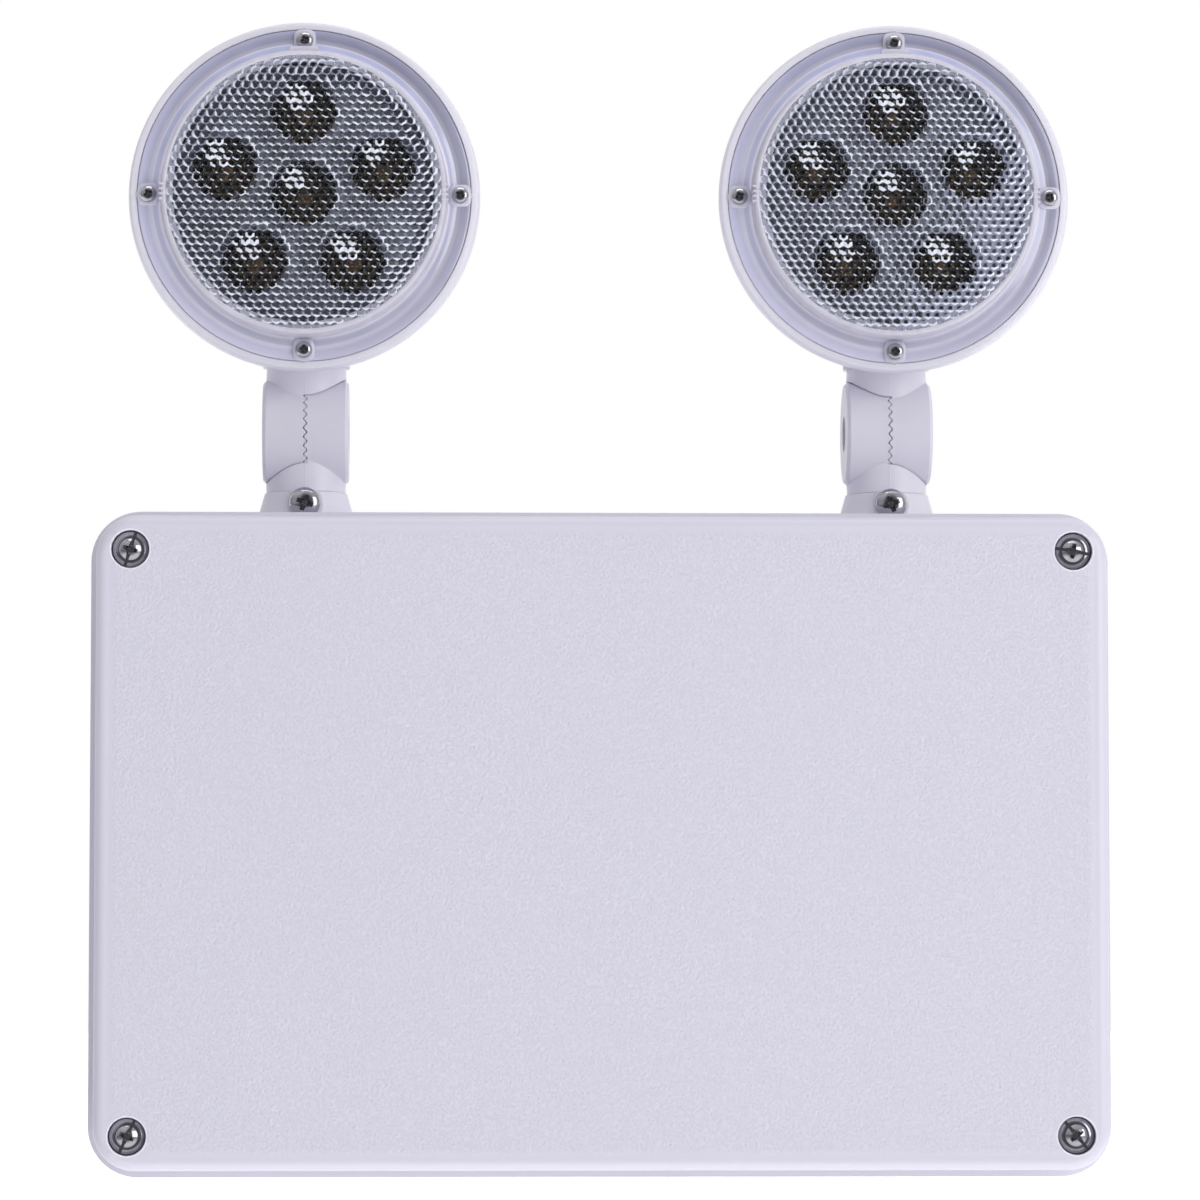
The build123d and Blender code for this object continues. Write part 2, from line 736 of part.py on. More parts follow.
def collar_nut():
    low = -HOUSING_WALL - COLLAR_NUT_H
    ring = Pos(0, 0, low) * extrude(RegularPolygon(COLLAR_NUT_R, 6), COLLAR_NUT_H)
    return ring - rod(COLLAR_SPIGOT_R + THREAD_GAP, (0, 0, low), (0, 0, -HOUSING_WALL))


def clamp_screw():
    length = CLAMP_BOSS_Y - CLAMP_GROOVE_R - CLAMP_TIP_GAP
    return pan_screw(
        (0, -CLAMP_BOSS_Y, CLAMP_Z),
        FORWARD,
        CLAMP_HEAD_R,
        CLAMP_HEAD_H,
        CLAMP_R,
        length,
        turn=CLAMP_SCREW_ANGLE,
    )


def tooth_ring(phase):
    """Radial teeth about the pivot axis, standing from the valley plane towards -X."""
    half_pitch = math.radians(180 / TOOTH_COUNT)
    sections = []
    for radius in (TOOTH_INNER_R, KNUCKLE_R / math.cos(half_pitch)):
        half = radius * math.tan(half_pitch)
        tip = TOOTH_VALLEY_X - TOOTH_H * radius / KNUCKLE_R
        corners = [(TOOTH_VALLEY_X, -half, radius), (TOOTH_VALLEY_X, half, radius), (tip, 0, radius)]
        sections.append(make_face(Polyline(*corners, close=True)))
    tooth = loft(sections) & rod(KNUCKLE_R, (0, 0, 0), (TOOTH_VALLEY_X, 0, 0))
    return [Rot(X=phase + 360 * i / TOOTH_COUNT) * tooth for i in range(TOOTH_COUNT)]


def half_disc(phase):
    """Toothed half of the knuckle on the +X side, about the pivot axis."""
    face_x, side_x = TOOTH_VALLEY_X, KNUCKLE_HALF_W
    outline = [
        (0, face_x),
        (KNUCKLE_R, face_x),
        (KNUCKLE_R, side_x - KNUCKLE_EDGE),
        (KNUCKLE_R - KNUCKLE_EDGE, side_x),
        (0, side_x),
    ]
    disc = turned(outline, (0, 0, 0), (1, 0, 0)) + tooth_ring(phase)
    return disc + rod(HUB_R, (TOOTH_PEAK_X, 0, 0), (side_x / 2, 0, 0))


def wire_ring():
    """Ring-shaped room for the wires round the pivot screw."""
    depth = TOOTH_VALLEY_X + WIRE_RING_D
    return tube(WIRE_RING_R, HUB_R, 0, depth, (0, 0, 0), (1, 0, 0))


def lower_arm():
    base = COLLAR_H + SWIVEL_GAP
    outline = [
        (0, -SWIVEL_L),
        (SWIVEL_R, -SWIVEL_L),
        (SWIVEL_R, RING_GROOVE_Z - RING_H),
        (RING_GROOVE_R, RING_GROOVE_Z - RING_H),
        (RING_GROOVE_R, RING_GROOVE_Z),
        (SWIVEL_R, RING_GROOVE_Z),
        (SWIVEL_R, CLAMP_Z - CLAMP_GROOVE_H / 2),
        (CLAMP_GROOVE_R, CLAMP_Z - CLAMP_GROOVE_H / 2),
        (CLAMP_GROOVE_R, CLAMP_Z + CLAMP_GROOVE_H / 2),
        (SWIVEL_R, CLAMP_Z + CLAMP_GROOVE_H / 2),
        (SWIVEL_R, base),
        (NECK_R, base),
        (KNUCKLE_HALF_W, PIVOT_Z),
        (0, PIVOT_Z),
    ]
    arm = turned(outline)
    far = 2 * KNUCKLE_R
    arm -= rod(SADDLE_R, (-far, 0, PIVOT_Z), (TOOTH_VALLEY_X, 0, PIVOT_Z))
    at_pivot = Pos(0, 0, PIVOT_Z)
    arm += at_pivot * half_disc(0)
    arm -= at_pivot * wire_ring()
    side = (KNUCKLE_HALF_W, 0, PIVOT_Z)
    arm -= rod(PIVOT_RECESS_R, (KNUCKLE_HALF_W - PIVOT_RECESS_D, 0, PIVOT_Z), side)
    arm -= rod(PIVOT_SCREW_R + PIVOT_GAP, (0, 0, PIVOT_Z), side)
    arm -= rod(WIRE_BORE_R, (WIRE_BORE_X, 0, -SWIVEL_L), (WIRE_BORE_X, 0, PIVOT_Z - HUB_R - WIRE_BORE_R))
    return arm


def stem_ring():
    """Seal ring in the lower groove of the swivel spigot."""
    outer = SWIVEL_R + SWIVEL_GAP / 2
    return tube(outer, RING_GROOVE_R, RING_GROOVE_Z - RING_H, RING_GROOVE_Z)


def upper_arm():
    top = HEAD_Z - NECK_BOSS_DROP
    spigot_top = HEAD_Z - NECK_PAD_DROP + NECK_NUT_H + NECK_SPIGOT_PROUD
    outline = [
        (0, PIVOT_Z),
        (KNUCKLE_HALF_W, PIVOT_Z),
        (NECK_R, top),
        (NECK_SPIGOT_R, top),
        (NECK_SPIGOT_R, spigot_top),
        (0, spigot_top),
    ]
    arm = turned(outline)
    far = 2 * KNUCKLE_R
    arm -= rod(SADDLE_R, (-TOOTH_VALLEY_X, 0, PIVOT_Z), (far, 0, PIVOT_Z))
    at_pivot = Pos(0, 0, PIVOT_Z) * Rot(Z=180)
    arm += at_pivot * half_disc(180 / TOOTH_COUNT)
    arm -= at_pivot * wire_ring()
    insert_end = -INSERT_SET_BACK - INSERT_L
    arm -= rod(PIVOT_SCREW_R + PIVOT_GAP, (0, 0, PIVOT_Z), (insert_end - HOLE_GAP, 0, PIVOT_Z))
    arm -= rod(INSERT_R, (-INSERT_SET_BACK, 0, PIVOT_Z), (insert_end, 0, PIVOT_Z))
    low = PIVOT_Z + HUB_R + WIRE_BORE_R
    arm -= rod(WIRE_BORE_R, (-WIRE_BORE_X, 0, low), (-WIRE_BORE_X, 0, spigot_top))
    return arm


def pivot_insert():
    start = (-INSERT_SET_BACK - INSERT_L, 0, PIVOT_Z)
    return tube(INSERT_R, PIVOT_SCREW_R + THREAD_GAP, 0, INSERT_L, start, (1, 0, 0))


def pivot_screw():
    seat_x = KNUCKLE_HALF_W - PIVOT_RECESS_D + PIVOT_GAP
    length = seat_x + INSERT_SET_BACK + INSERT_L
    return pan_screw(
        (seat_x, 0, PIVOT_Z),
        (1, 0, 0),
        PIVOT_SCREW_HEAD_R,
        PIVOT_SCREW_HEAD_H,
        PIVOT_SCREW_R,
        length,
        turn=PIVOT_SCREW_ANGLE,
    )


# Lamp head


def shell_radius(forward):
    """Outer radius of the tapered shell at a place behind the face."""
    share = (forward + HEAD_D) / (HEAD_D - HEAD_EDGE_D)
    return HEAD_BACK_R + share * (HEAD_R - HEAD_BACK_R)


def head_shell():
    outline = [
        (0, -HEAD_D),
        (HEAD_BACK_R, -HEAD_D),
        (HEAD_R, -HEAD_EDGE_D),
        (HEAD_EDGE_R, 0),
        (0, 0),
    ]
    shell = turned(outline, HEAD_ORIGIN, FORWARD)
    shell = fillet(shell.faces().sort_by(Axis.Y)[-1].edges(), HEAD_BACK_ROUND)
    shell = fillet(shell.faces().sort_by(Axis.Y)[0].edges(), HEAD_FRONT_ROUND)
    boss_low = HEAD_Z - NECK_BOSS_DROP
    shell += rod(NECK_BOSS_R, (0, 0, boss_low), (0, 0, boss_low + NECK_BOSS_R))

    ledge_back = -LENS_SEAT_D - LEDGE_H
    inner_back = HEAD_WALL - HEAD_D
    corner = HEAD_BACK_ROUND / 2
    cavity = [
        (0, inner_back),
        (shell_radius(inner_back) - HEAD_WALL - corner, inner_back),
        (shell_radius(inner_back + corner) - HEAD_WALL, inner_back + corner),
        (shell_radius(ledge_back) - HEAD_WALL, ledge_back),
        (LEDGE_R, ledge_back),
        (LEDGE_R, -LENS_SEAT_D),
        (LENS_SEAT_R, -LENS_SEAT_D),
        (LENS_SEAT_R, 0),
        (0, 0),
    ]
    shell -= turned(cavity, HEAD_ORIGIN, FORWARD)
    for across, up in around(LENS_SCREW_COUNT, LENS_SCREW_AT):
        front = on_head(across, up, -LENS_SEAT_D)
        shell += rod(LENS_COLUMN_R, on_head(across, up, -LENS_COLUMN_L), front)
    for across, up in around(BOARD_POST_COUNT, BOARD_POST_AT):
        shell += rod(BOARD_POST_R, on_head(across, up, inner_back), on_head(across, up, LED_BOARD_BACK))
    pad_top = HEAD_Z - NECK_PAD_DROP
    shell += rod(NECK_PAD_R, (0, 0, boss_low + HEAD_WALL), (0, 0, pad_top))

    shell -= rod(NECK_R + HOLE_GAP, (0, 0, PIVOT_Z), (0, 0, boss_low))
    shell -= rod(NECK_SPIGOT_R + THREAD_GAP, (0, 0, boss_low), (0, 0, pad_top))
    for across, up in around(LENS_SCREW_COUNT, LENS_SCREW_AT):
        back = on_head(across, up, LENS_BOSS_H - LENS_SCREW_L - HOLE_GAP)
        shell -= rod(LENS_SCREW_R + THREAD_GAP, back, on_head(across, up, -LENS_SEAT_D))
    shell -= lens_gasket_ring(GROOVE_SIDE_GAP)
    return shell


def lens_gasket_ring(side_gap):
    """Gasket or its groove, between the shell's ledge and the back of the lens."""
    front = -LENS_T
    outer = LENS_GASKET_R + LENS_GASKET_W + side_gap
    return tube(outer, LENS_GASKET_R - side_gap, front - LENS_GASKET_H, front, HEAD_ORIGIN, FORWARD)


def neck_nut():
    low = HEAD_Z - NECK_PAD_DROP
    ring = Pos(0, 0, low) * extrude(RegularPolygon(NECK_NUT_R, 6), NECK_NUT_H)
    return ring - rod(NECK_SPIGOT_R + THREAD_GAP, (0, 0, low), (0, 0, low + NECK_NUT_H))


def lens():
    outline = [
        (0, LENS_CAP_H - LENS_CAP_WALL),
        (LENS_CAP_TOP_R - LENS_CAP_WALL + LENS_CAP_EDGE / 2, LENS_CAP_H - LENS_CAP_WALL),
        (LENS_CAP_R - LENS_CAP_WALL, -LENS_T),
        (LENS_R, -LENS_T),
        (LENS_R, 0),
        (LENS_CAP_R, 0),
        (LENS_CAP_TOP_R + LENS_CAP_EDGE, LENS_CAP_H - LENS_CAP_EDGE),
        (LENS_CAP_TOP_R, LENS_CAP_H),
        (0, LENS_CAP_H),
    ]
    body = turned(outline, HEAD_ORIGIN, FORWARD)
    body += [Location(HEAD_ORIGIN) * boss for boss in lens_bosses()]
    for across, up in around(LENS_SCREW_COUNT, LENS_SCREW_AT):
        hole_r = LENS_SCREW_R + THREAD_GAP
        body -= rod(hole_r, on_head(across, up, -LENS_T), on_head(across, up, LENS_BOSS_H))
    return body


def lens_bosses():
    """Raised seats under the lens screws, each with a point turned outwards."""
    half = LENS_BOSS_HALF
    corners = [(-half, -half), (half, -half), (half, 0), (0, LENS_BOSS_TIP), (-half, 0)]
    seat = make_face(Polyline(*[(x, 0, LENS_SCREW_AT + z) for x, z in corners], close=True))
    boss = extrude(seat, LENS_BOSS_H, dir=FORWARD)
    return [Rot(Y=360 * i / LENS_SCREW_COUNT) * boss for i in range(LENS_SCREW_COUNT)]


def lens_screws():
    screws = []
    for i, (across, up) in enumerate(around(LENS_SCREW_COUNT, LENS_SCREW_AT)):
        screws.append(
            pan_screw(
                on_head(across, up, LENS_BOSS_H),
                FORWARD,
                LENS_SCREW_HEAD_R,
                LENS_SCREW_HEAD_H,
                LENS_SCREW_R,
                LENS_SCREW_L,
                turn=LENS_SCREW_ANGLE * i,
            )
        )
    return Compound(children=screws)


def reflector():
    """Hat-shaped plate with conical cups: one in the middle and a ring round it."""
    front, back = REFLECTOR_FRONT, -LENS_SEAT_D
    wall = REFLECTOR_T
    outline = [
        (0, front - wall),
        (REFLECTOR_R - wall, front - wall),
        (REFLECTOR_R - wall, back),
        (REFLECTOR_RIM_R, back),
        (REFLECTOR_RIM_R, -LENS_T),
        (REFLECTOR_R, -LENS_T),
        (REFLECTOR_R, front),
        (0, front),
    ]
    plate = turned(outline, HEAD_ORIGIN, FORWARD)
    centres = [(0, 0)] + around(CUP_COUNT, CUP_RING_R)
    for across, up in centres:
        centre = on_head(across, up, 0)
        rise = [(0, CUP_BACK), (CUP_BOTTOM_R + CUP_WALL, CUP_BACK), (CUP_R + CUP_WALL, front), (0, front)]
        plate += turned(rise, centre, FORWARD)
    for across, up in centres:
        centre = on_head(across, up, 0)
        well = [(0, CUP_BACK), (CUP_BOTTOM_R, CUP_BACK), (CUP_R, front), (0, front)]
        plate -= turned(well, centre, FORWARD)
    return plate


def led_board():
    return turned(
        [(0, LED_BOARD_BACK), (LED_BOARD_R, LED_BOARD_BACK), (LED_BOARD_R, CUP_BACK), (0, CUP_BACK)],
        HEAD_ORIGIN,
        FORWARD,
    )


def leds():
    chips = []
    half = LED_SIZE / 2
    for across, up in [(0, 0)] + around(CUP_COUNT, CUP_RING_R):
        x, y, z = on_head(across, up, CUP_BACK)
        chips.append(block((x - half, x + half), (y - LED_H, y), (z - half, z + half)))
    return Compound(children=chips)


# Whole light

HOUSING_PARTS = {
    "rear_housing": rear_housing,
    "front_cover": front_cover,
    "housing_gasket": lambda: gasket_ring(GASKET_W, HOUSING_D - GASKET_H, HOUSING_D),
    "cover_screws": cover_screws,
    "cover_screw_seals": cover_screw_seals,
    "battery_pack": battery_pack,
    "battery_bracket": battery_bracket,
    "bracket_screws": bracket_screws,
    "control_board": control_board,
    "board_screws": board_screws,
    "transformer": transformer,
    "relay": relay,
    "capacitors": capacitors,
    "terminal_block": terminal_block,
    "test_switch": test_switch,
    "test_switch_nut": test_switch_nut,
    "test_button": test_button,
    "charge_indicator": charge_indicator,
}

ARM_PARTS = {
    "collar": collar,
    "collar_nut": collar_nut,
    "clamp_screw": clamp_screw,
    "lower_arm": lower_arm,
    "stem_ring": stem_ring,
    "upper_arm": upper_arm,
    "pivot_insert": pivot_insert,
    "pivot_screw": pivot_screw,
    "head_shell": head_shell,
    "neck_nut": neck_nut,
    "lens_gasket": lambda: lens_gasket_ring(0),
    "lens": lens,
    "lens_screws": lens_screws,
    "reflector": reflector,
    "led_board": led_board,
    "leds": leds,
}


def main():
    os.makedirs("parts", exist_ok=True)
    for name, build in HOUSING_PARTS.items():
        export_step(build(), f"parts/{name}.step")
    (left_x, arm_y), (right_x, _) = arm_places()
    for name, build in ARM_PARTS.items():
        piece = build()
        export_step(Pos(left_x, arm_y, TOP_Z) * piece, f"parts/left_{name}.step")
        mirrored = mirror(piece, Plane.YZ)
        export_step(Pos(right_x, arm_y, TOP_Z) * mirrored, f"parts/right_{name}.step")


main()
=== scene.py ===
"""Looks of a twin-head emergency light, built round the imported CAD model."""

import math
from collections import namedtuple

import bmesh
import bpy
from mathutils import Matrix, Vector


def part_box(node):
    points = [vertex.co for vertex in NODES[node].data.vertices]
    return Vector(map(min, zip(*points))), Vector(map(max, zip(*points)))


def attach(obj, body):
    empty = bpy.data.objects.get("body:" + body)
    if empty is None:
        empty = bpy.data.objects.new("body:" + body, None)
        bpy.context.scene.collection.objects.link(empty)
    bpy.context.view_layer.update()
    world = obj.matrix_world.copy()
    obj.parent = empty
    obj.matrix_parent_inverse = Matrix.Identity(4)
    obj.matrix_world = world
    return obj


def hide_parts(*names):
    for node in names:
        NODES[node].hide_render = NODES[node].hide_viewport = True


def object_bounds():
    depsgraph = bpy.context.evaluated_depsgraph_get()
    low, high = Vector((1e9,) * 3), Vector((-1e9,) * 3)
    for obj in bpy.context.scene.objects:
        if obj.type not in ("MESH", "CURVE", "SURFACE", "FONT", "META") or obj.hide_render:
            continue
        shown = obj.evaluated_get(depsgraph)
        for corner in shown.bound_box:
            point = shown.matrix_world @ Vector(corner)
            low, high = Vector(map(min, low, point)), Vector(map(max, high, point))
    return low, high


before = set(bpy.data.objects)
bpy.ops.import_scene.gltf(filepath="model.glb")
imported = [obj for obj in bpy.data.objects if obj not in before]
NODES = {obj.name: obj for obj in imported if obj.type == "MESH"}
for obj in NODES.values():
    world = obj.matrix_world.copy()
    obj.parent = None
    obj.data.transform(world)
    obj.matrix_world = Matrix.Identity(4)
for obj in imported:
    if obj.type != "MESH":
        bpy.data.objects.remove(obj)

CAD_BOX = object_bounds()
MM = 0.001

LENS_CAP = 8.0  # height of the lens cap over its flange
FLOOR_DROP = 180.0  # clear space below the light, which hangs on a wall

# Places in millimetres, from the CAD
LENS_LOW, LENS_HIGH = (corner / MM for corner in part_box("left_lens"))
PIVOT = sum(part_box("left_pivot_insert"), Vector()) / 2 / MM
COVER_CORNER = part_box("front_cover")[1] / MM
ARM_X = -(LENS_LOW.x + LENS_HIGH.x) / 2
HEAD_Z = (LENS_LOW.z + LENS_HIGH.z) / 2
FACE_Y = LENS_LOW.y + LENS_CAP
FLOOR_Z = CAD_BOX[0][2] / MM - FLOOR_DROP
SIDES = (("left", -1), ("right", 1))


def srgb(red, green, blue):
    """Linear colour from 0 to 255 display values."""
    levels = [c / 255 for c in (red, green, blue)]
    return [c / 12.92 if c <= 0.04045 else ((c + 0.055) / 1.055) ** 2.4 for c in levels] + [1.0]


# Camera, fitted to the photo: place in metres, pitch and yaw in degrees, focal length in millimetres

CAMERA_AT = (-0.0441, -1.545, -0.0296)
CAMERA_PITCH = 93.857
CAMERA_YAW = -1.728
FOCAL_LENGTH = 155.42


def camera():
    data = bpy.data.cameras.new("camera")
    data.lens = FOCAL_LENGTH
    data.sensor_width = 36.0
    data.clip_end = 60.0
    obj = bpy.data.objects.new("camera", data)
    obj.location = CAMERA_AT
    obj.rotation_euler = (math.radians(CAMERA_PITCH), 0.0, math.radians(CAMERA_YAW))
    bpy.context.scene.collection.objects.link(obj)
    bpy.context.scene.camera = obj


# Materials


def graph(name):
    mat = bpy.data.materials.new(name)
    mat.use_nodes = True
    tree = mat.node_tree
    tree.nodes.clear()
    out = tree.nodes.new("ShaderNodeOutputMaterial")
    shader = tree.nodes.new("ShaderNodeBsdfPrincipled")
    tree.links.new(shader.outputs[0], out.inputs[0])
    return mat, tree, shader


def node(tree, kind, inputs=None, **settings):
    made = tree.nodes.new(kind)
    for key, value in settings.items():
        setattr(made, key, value)
    for key, value in (inputs or {}).items():
        if isinstance(value, bpy.types.NodeSocket):
            tree.links.new(value, made.inputs[key])
        else:
            made.inputs[key].default_value = value
    return made


def spot(tree):
    return node(tree, "ShaderNodeTexCoord").outputs["Object"]


def noise(tree, place, size_mm, detail=3.0):
    scale = 1 / (size_mm * MM)
    return node(tree, "ShaderNodeTexNoise", {"Vector": place, "Scale": scale, "Detail": detail}).outputs[0]


def ranged(tree, value, low, high, start=0.3, end=0.7, smooth=False):
    kind = "SMOOTHSTEP" if smooth else "LINEAR"
    inputs = {0: value, 1: start, 2: end, 3: low, 4: high}
    return node(tree, "ShaderNodeMapRange", inputs, interpolation_type=kind).outputs[0]


def mixed(tree, factor, first, second):
    made = node(tree, "ShaderNodeMix", {0: factor}, data_type="RGBA")
    for index, value in ((6, first), (7, second)):
        if isinstance(value, bpy.types.NodeSocket):
            tree.links.new(value, made.inputs[index])
        else:
            made.inputs[index].default_value = value
    return made.outputs[2]


def maths(tree, operation, first, second=0.0):
    return node(tree, "ShaderNodeMath", {0: first, 1: second}, operation=operation).outputs[0]


def toned(colour, share):
    """Colour made darker, or lighter by a share over 1."""
    return [c * share for c in colour[:3]] + [1.0]


def surface(tree, shader, tint, rough):
    tree.links.new(tint, shader.inputs["Base Color"])
    tree.links.new(rough, shader.inputs["Roughness"])


def relief(tree, shader, height, depth, edge=0.0):
    """Bump of a depth, over edges softened by a radius, both in millimetres."""
    bump = {"Height": height, "Distance": depth * MM, "Strength": 1.0}
    if edge:
        bump["Normal"] = node(tree, "ShaderNodeBevel", {"Radius": edge * MM}, samples=4).outputs[0]
    tree.links.new(node(tree, "ShaderNodeBump", bump).outputs[0], shader.inputs["Normal"])


def finish(name, colour, rough, grain, metallic=0.0, depth=0.02, tone=0.94, edge=0.35, **sockets):
    """General finish: slow change of tone, uneven gloss, fine grain and softened edges."""
    mat, tree, shader = graph(name)
    place = spot(tree)
    slow = noise(tree, place, 26.0)
    fine = noise(tree, place, grain, 2.0)
    tint = mixed(tree, ranged(tree, slow, 0.0, 1.0), toned(colour, tone), colour)
    surface(tree, shader, tint, ranged(tree, fine, rough * 0.85, rough * 1.15))
    shader.inputs["Metallic"].default_value = metallic
    for key, value in sockets.items():
        shader.inputs[key.replace("_", " ")].default_value = value
    relief(tree, shader, fine, depth, edge)
    return mat


def absolute(tree, place):
    """Distances from the middle plane, across and up."""
    parts = node(tree, "ShaderNodeSeparateXYZ", {0: place})
    return maths(tree, "ABSOLUTE", parts.outputs[0]), maths(tree, "ABSOLUTE", parts.outputs[2])


# Front cover in millimetres, measured inwards from its outline
BORDER_END = 3.5  # where the smooth border ends
FACE_START = 6.0  # where the pebbled face is full
PEBBLE = 0.75  # size of a pebble


def cover_finish(name, colour):
    """Pebbled face with a smooth border."""
    mat, tree, shader = graph(name)
    place = spot(tree)
    across, up = absolute(tree, place)
    inset_x = maths(tree, "SUBTRACT", COVER_CORNER.x * MM, across)
    inset_z = maths(tree, "SUBTRACT", COVER_CORNER.z * MM, up)
    inset = maths(tree, "MINIMUM", inset_x, inset_z)
    inside = ranged(tree, inset, 0.0, 1.0, BORDER_END * MM, FACE_START * MM, True)
    slow = noise(tree, place, 60.0)
    fine = noise(tree, place, 0.5, 3.0)
    grid = {"Vector": place, "Scale": 1 / (PEBBLE * MM)}
    cells = node(tree, "ShaderNodeTexVoronoi", grid, feature="SMOOTH_F1").outputs[0]
    pebble = maths(tree, "ADD", maths(tree, "MULTIPLY", cells, 0.6), maths(tree, "MULTIPLY", fine, 0.5))
    share = ranged(tree, pebble, 0.0, 1.0, 0.3, 0.75)
    face = mixed(tree, inside, colour, mixed(tree, share, toned(colour, 0.9), toned(colour, 1.04)))
    tint = mixed(tree, ranged(tree, slow, 0.0, 0.35), face, toned(colour, 0.95))
    surface(tree, shader, tint, ranged(tree, inside, 0.34, 0.52, 0.0, 1.0))
    relief(tree, shader, maths(tree, "MULTIPLY", pebble, inside), 0.32, 0.5)
    return mat


# Half widths of the top and the foot of the arms' mould line, in millimetres
MOULD_LINE = (0.05, 0.3)


def arm_finish(name, colour):
    """Moulded arm with a faint mould line down its front and back."""
    mat, tree, shader = graph(name)
    place = spot(tree)
    across = absolute(tree, place)[0]
    off = maths(tree, "ABSOLUTE", maths(tree, "SUBTRACT", across, ARM_X * MM))
    line = ranged(tree, off, 1.0, 0.0, MOULD_LINE[0] * MM, MOULD_LINE[1] * MM, True)
    fine = noise(tree, place, 0.6, 2.0)
    slow = noise(tree, place, 14.0)
    tint = mixed(tree, ranged(tree, slow, 0.0, 1.0), toned(colour, 0.95), colour)
    surface(tree, shader, tint, ranged(tree, fine, 0.30, 0.42))
    relief(tree, shader, maths(tree, "ADD", maths(tree, "MULTIPLY", line, 2.2), fine), 0.03, 0.4)
    return mat


def brushed(name, colour, rough, size=0.25):
    """Turned or rolled steel: polished, with fine uneven marks."""
    mat, tree, shader = graph(name)
    place = spot(tree)
    marks = noise(tree, place, size, 4.0)
    slow = noise(tree, place, 3.0)
    tint = mixed(tree, ranged(tree, slow, 0.0, 1.0), toned(colour, 0.82), colour)
    surface(tree, shader, tint, ranged(tree, marks, rough * 0.7, rough * 1.4))
    shader.inputs["Metallic"].default_value = 1.0
    relief(tree, shader, marks, 0.008)
    return mat


def from_head(tree, place):
    """Distance from the axis of the nearer lamp head, then how far right of it and over it, in metres."""
    parts = node(tree, "ShaderNodeSeparateXYZ", {0: place})
    outward = maths(tree, "SUBTRACT", maths(tree, "ABSOLUTE", parts.outputs[0]), ARM_X * MM)
    right = maths(tree, "MULTIPLY", outward, maths(tree, "SIGN", parts.outputs[0]))
    up = maths(tree, "SUBTRACT", parts.outputs[2], HEAD_Z * MM)
    square = maths(tree, "ADD", maths(tree, "MULTIPLY", right, right), maths(tree, "MULTIPLY", up, up))
    return maths(tree, "SQRT", square), right, up


# Rings of colour that show through the clear flange: radius in millimetres, and colour
FLANGE_BANDS = (
    (41.0, (225, 223, 242)),
    (42.0, (152, 156, 186)),
    (43.0, (152, 156, 186)),
    (43.4, (204, 202, 220)),
    (44.3, (204, 202, 220)),
    (44.8, (180, 180, 210)),
    (46.7, (180, 180, 210)),
)
BAND_CHANGE = (43.2, 43.6)  # radii where the inner ring gives way to the outer one
FLANGE_REACH = 45.0  # radius at which the painted light's lean is full


def painted_light_lean(tree, right, up, direction, far, near):
    """Painted light: a share that grows from far to near across the flange, towards a direction in
    degrees.
    """
    a = math.radians(direction)
    rightward = maths(tree, "MULTIPLY", right, math.cos(a))
    along = maths(tree, "ADD", rightward, maths(tree, "MULTIPLY", up, math.sin(a)))
    return ranged(tree, along, far, near, -FLANGE_REACH * MM, FLANGE_REACH * MM)


def band_colours(tree, radius):
    """Colour of the flange at a distance from its axis."""
    first, last = FLANGE_BANDS[0][0], FLANGE_BANDS[-1][0]
    ramp = node(tree, "ShaderNodeValToRGB", {0: ranged(tree, radius, 0.0, 1.0, first * MM, last * MM)})
    stops = ramp.color_ramp.elements
    for index, (edge, colour) in enumerate(FLANGE_BANDS):
        share = (edge - first) / (last - first)
        stop = stops[index] if index < 2 else stops.new(share)
        stop.position = share
        stop.color = srgb(*colour)
    return ramp.outputs[0]


def flange_finish(name):
    """Clear flange: rings show through it, with painted light: the inner ring lighter towards the top, the
    outer ring lighter towards the lower left, and the lower part paler.
    """
    mat, tree, shader = graph(name)
    place = spot(tree)
    radius, right, up = from_head(tree, place)
    slow = noise(tree, place, 9.0)
    cloudy = mixed(tree, ranged(tree, slow, 0.0, 0.2), band_colours(tree, radius), srgb(214, 214, 236))
    # Painted light: the lower part of the flange is paler.
    painted_light_below = ranged(tree, up, 0.5, 0.0, -FLANGE_REACH * MM, FLANGE_REACH * MM)
    tint = mixed(tree, painted_light_below, cloudy, srgb(226, 224, 240))
    # Painted light and shade of the inner and outer rings, by direction.
    inner = painted_light_lean(tree, right, up, 110, 0.8, 1.5)
    outer = painted_light_lean(tree, right, up, 25, 1.14, 0.64)
    change = ranged(tree, radius, 0.0, 1.0, BAND_CHANGE[0] * MM, BAND_CHANGE[1] * MM)
    scaled = {0: tint, "Scale": mixed(tree, change, inner, outer)}
    tint = node(tree, "ShaderNodeVectorMath", scaled, operation="SCALE").outputs[0]
    surface(tree, shader, tint, ranged(tree, slow, 0.07, 0.14))
    shader.inputs["Coat Weight"].default_value = 0.6
    shader.inputs["Coat Roughness"].default_value = 0.05
    return mat


def clear_finish(name, colour, alpha, rough, transmission):
    """Clear or milky plastic of the lens, and the painted highlight, painted light and painted shade on
    its domes.
    """
    mat, tree, shader = graph(name)
    slow = noise(tree, spot(tree), 4.0)
    tint = mixed(tree, ranged(tree, slow, 0.0, 1.0), toned(colour, 0.9), colour)
    surface(tree, shader, tint, ranged(tree, slow, rough * 0.8, rough * 1.2))
    shader.inputs["Transmission Weight"].default_value = transmission
    shader.inputs["Alpha"].default_value = alpha
    shader.inputs["IOR"].default_value = 1.49
    return mat


def board_finish(name, colour, trace):
    """Circuit board with faint tracks under the lacquer."""
    mat, tree, shader = graph(name)
    place = spot(tree)
    grid = {"Vector": place, "Scale": 160.0}
    tracks = node(tree, "ShaderNodeTexVoronoi", grid, feature="F1", distance="CHEBYCHEV")
    mask = ranged(tree, tracks.outputs[0], 1.0, 0.0, 0.30, 0.36)
    rough = ranged(tree, noise(tree, place, 1.0), 0.28, 0.4)
    surface(tree, shader, mixed(tree, mask, colour, trace), rough)
    return mat


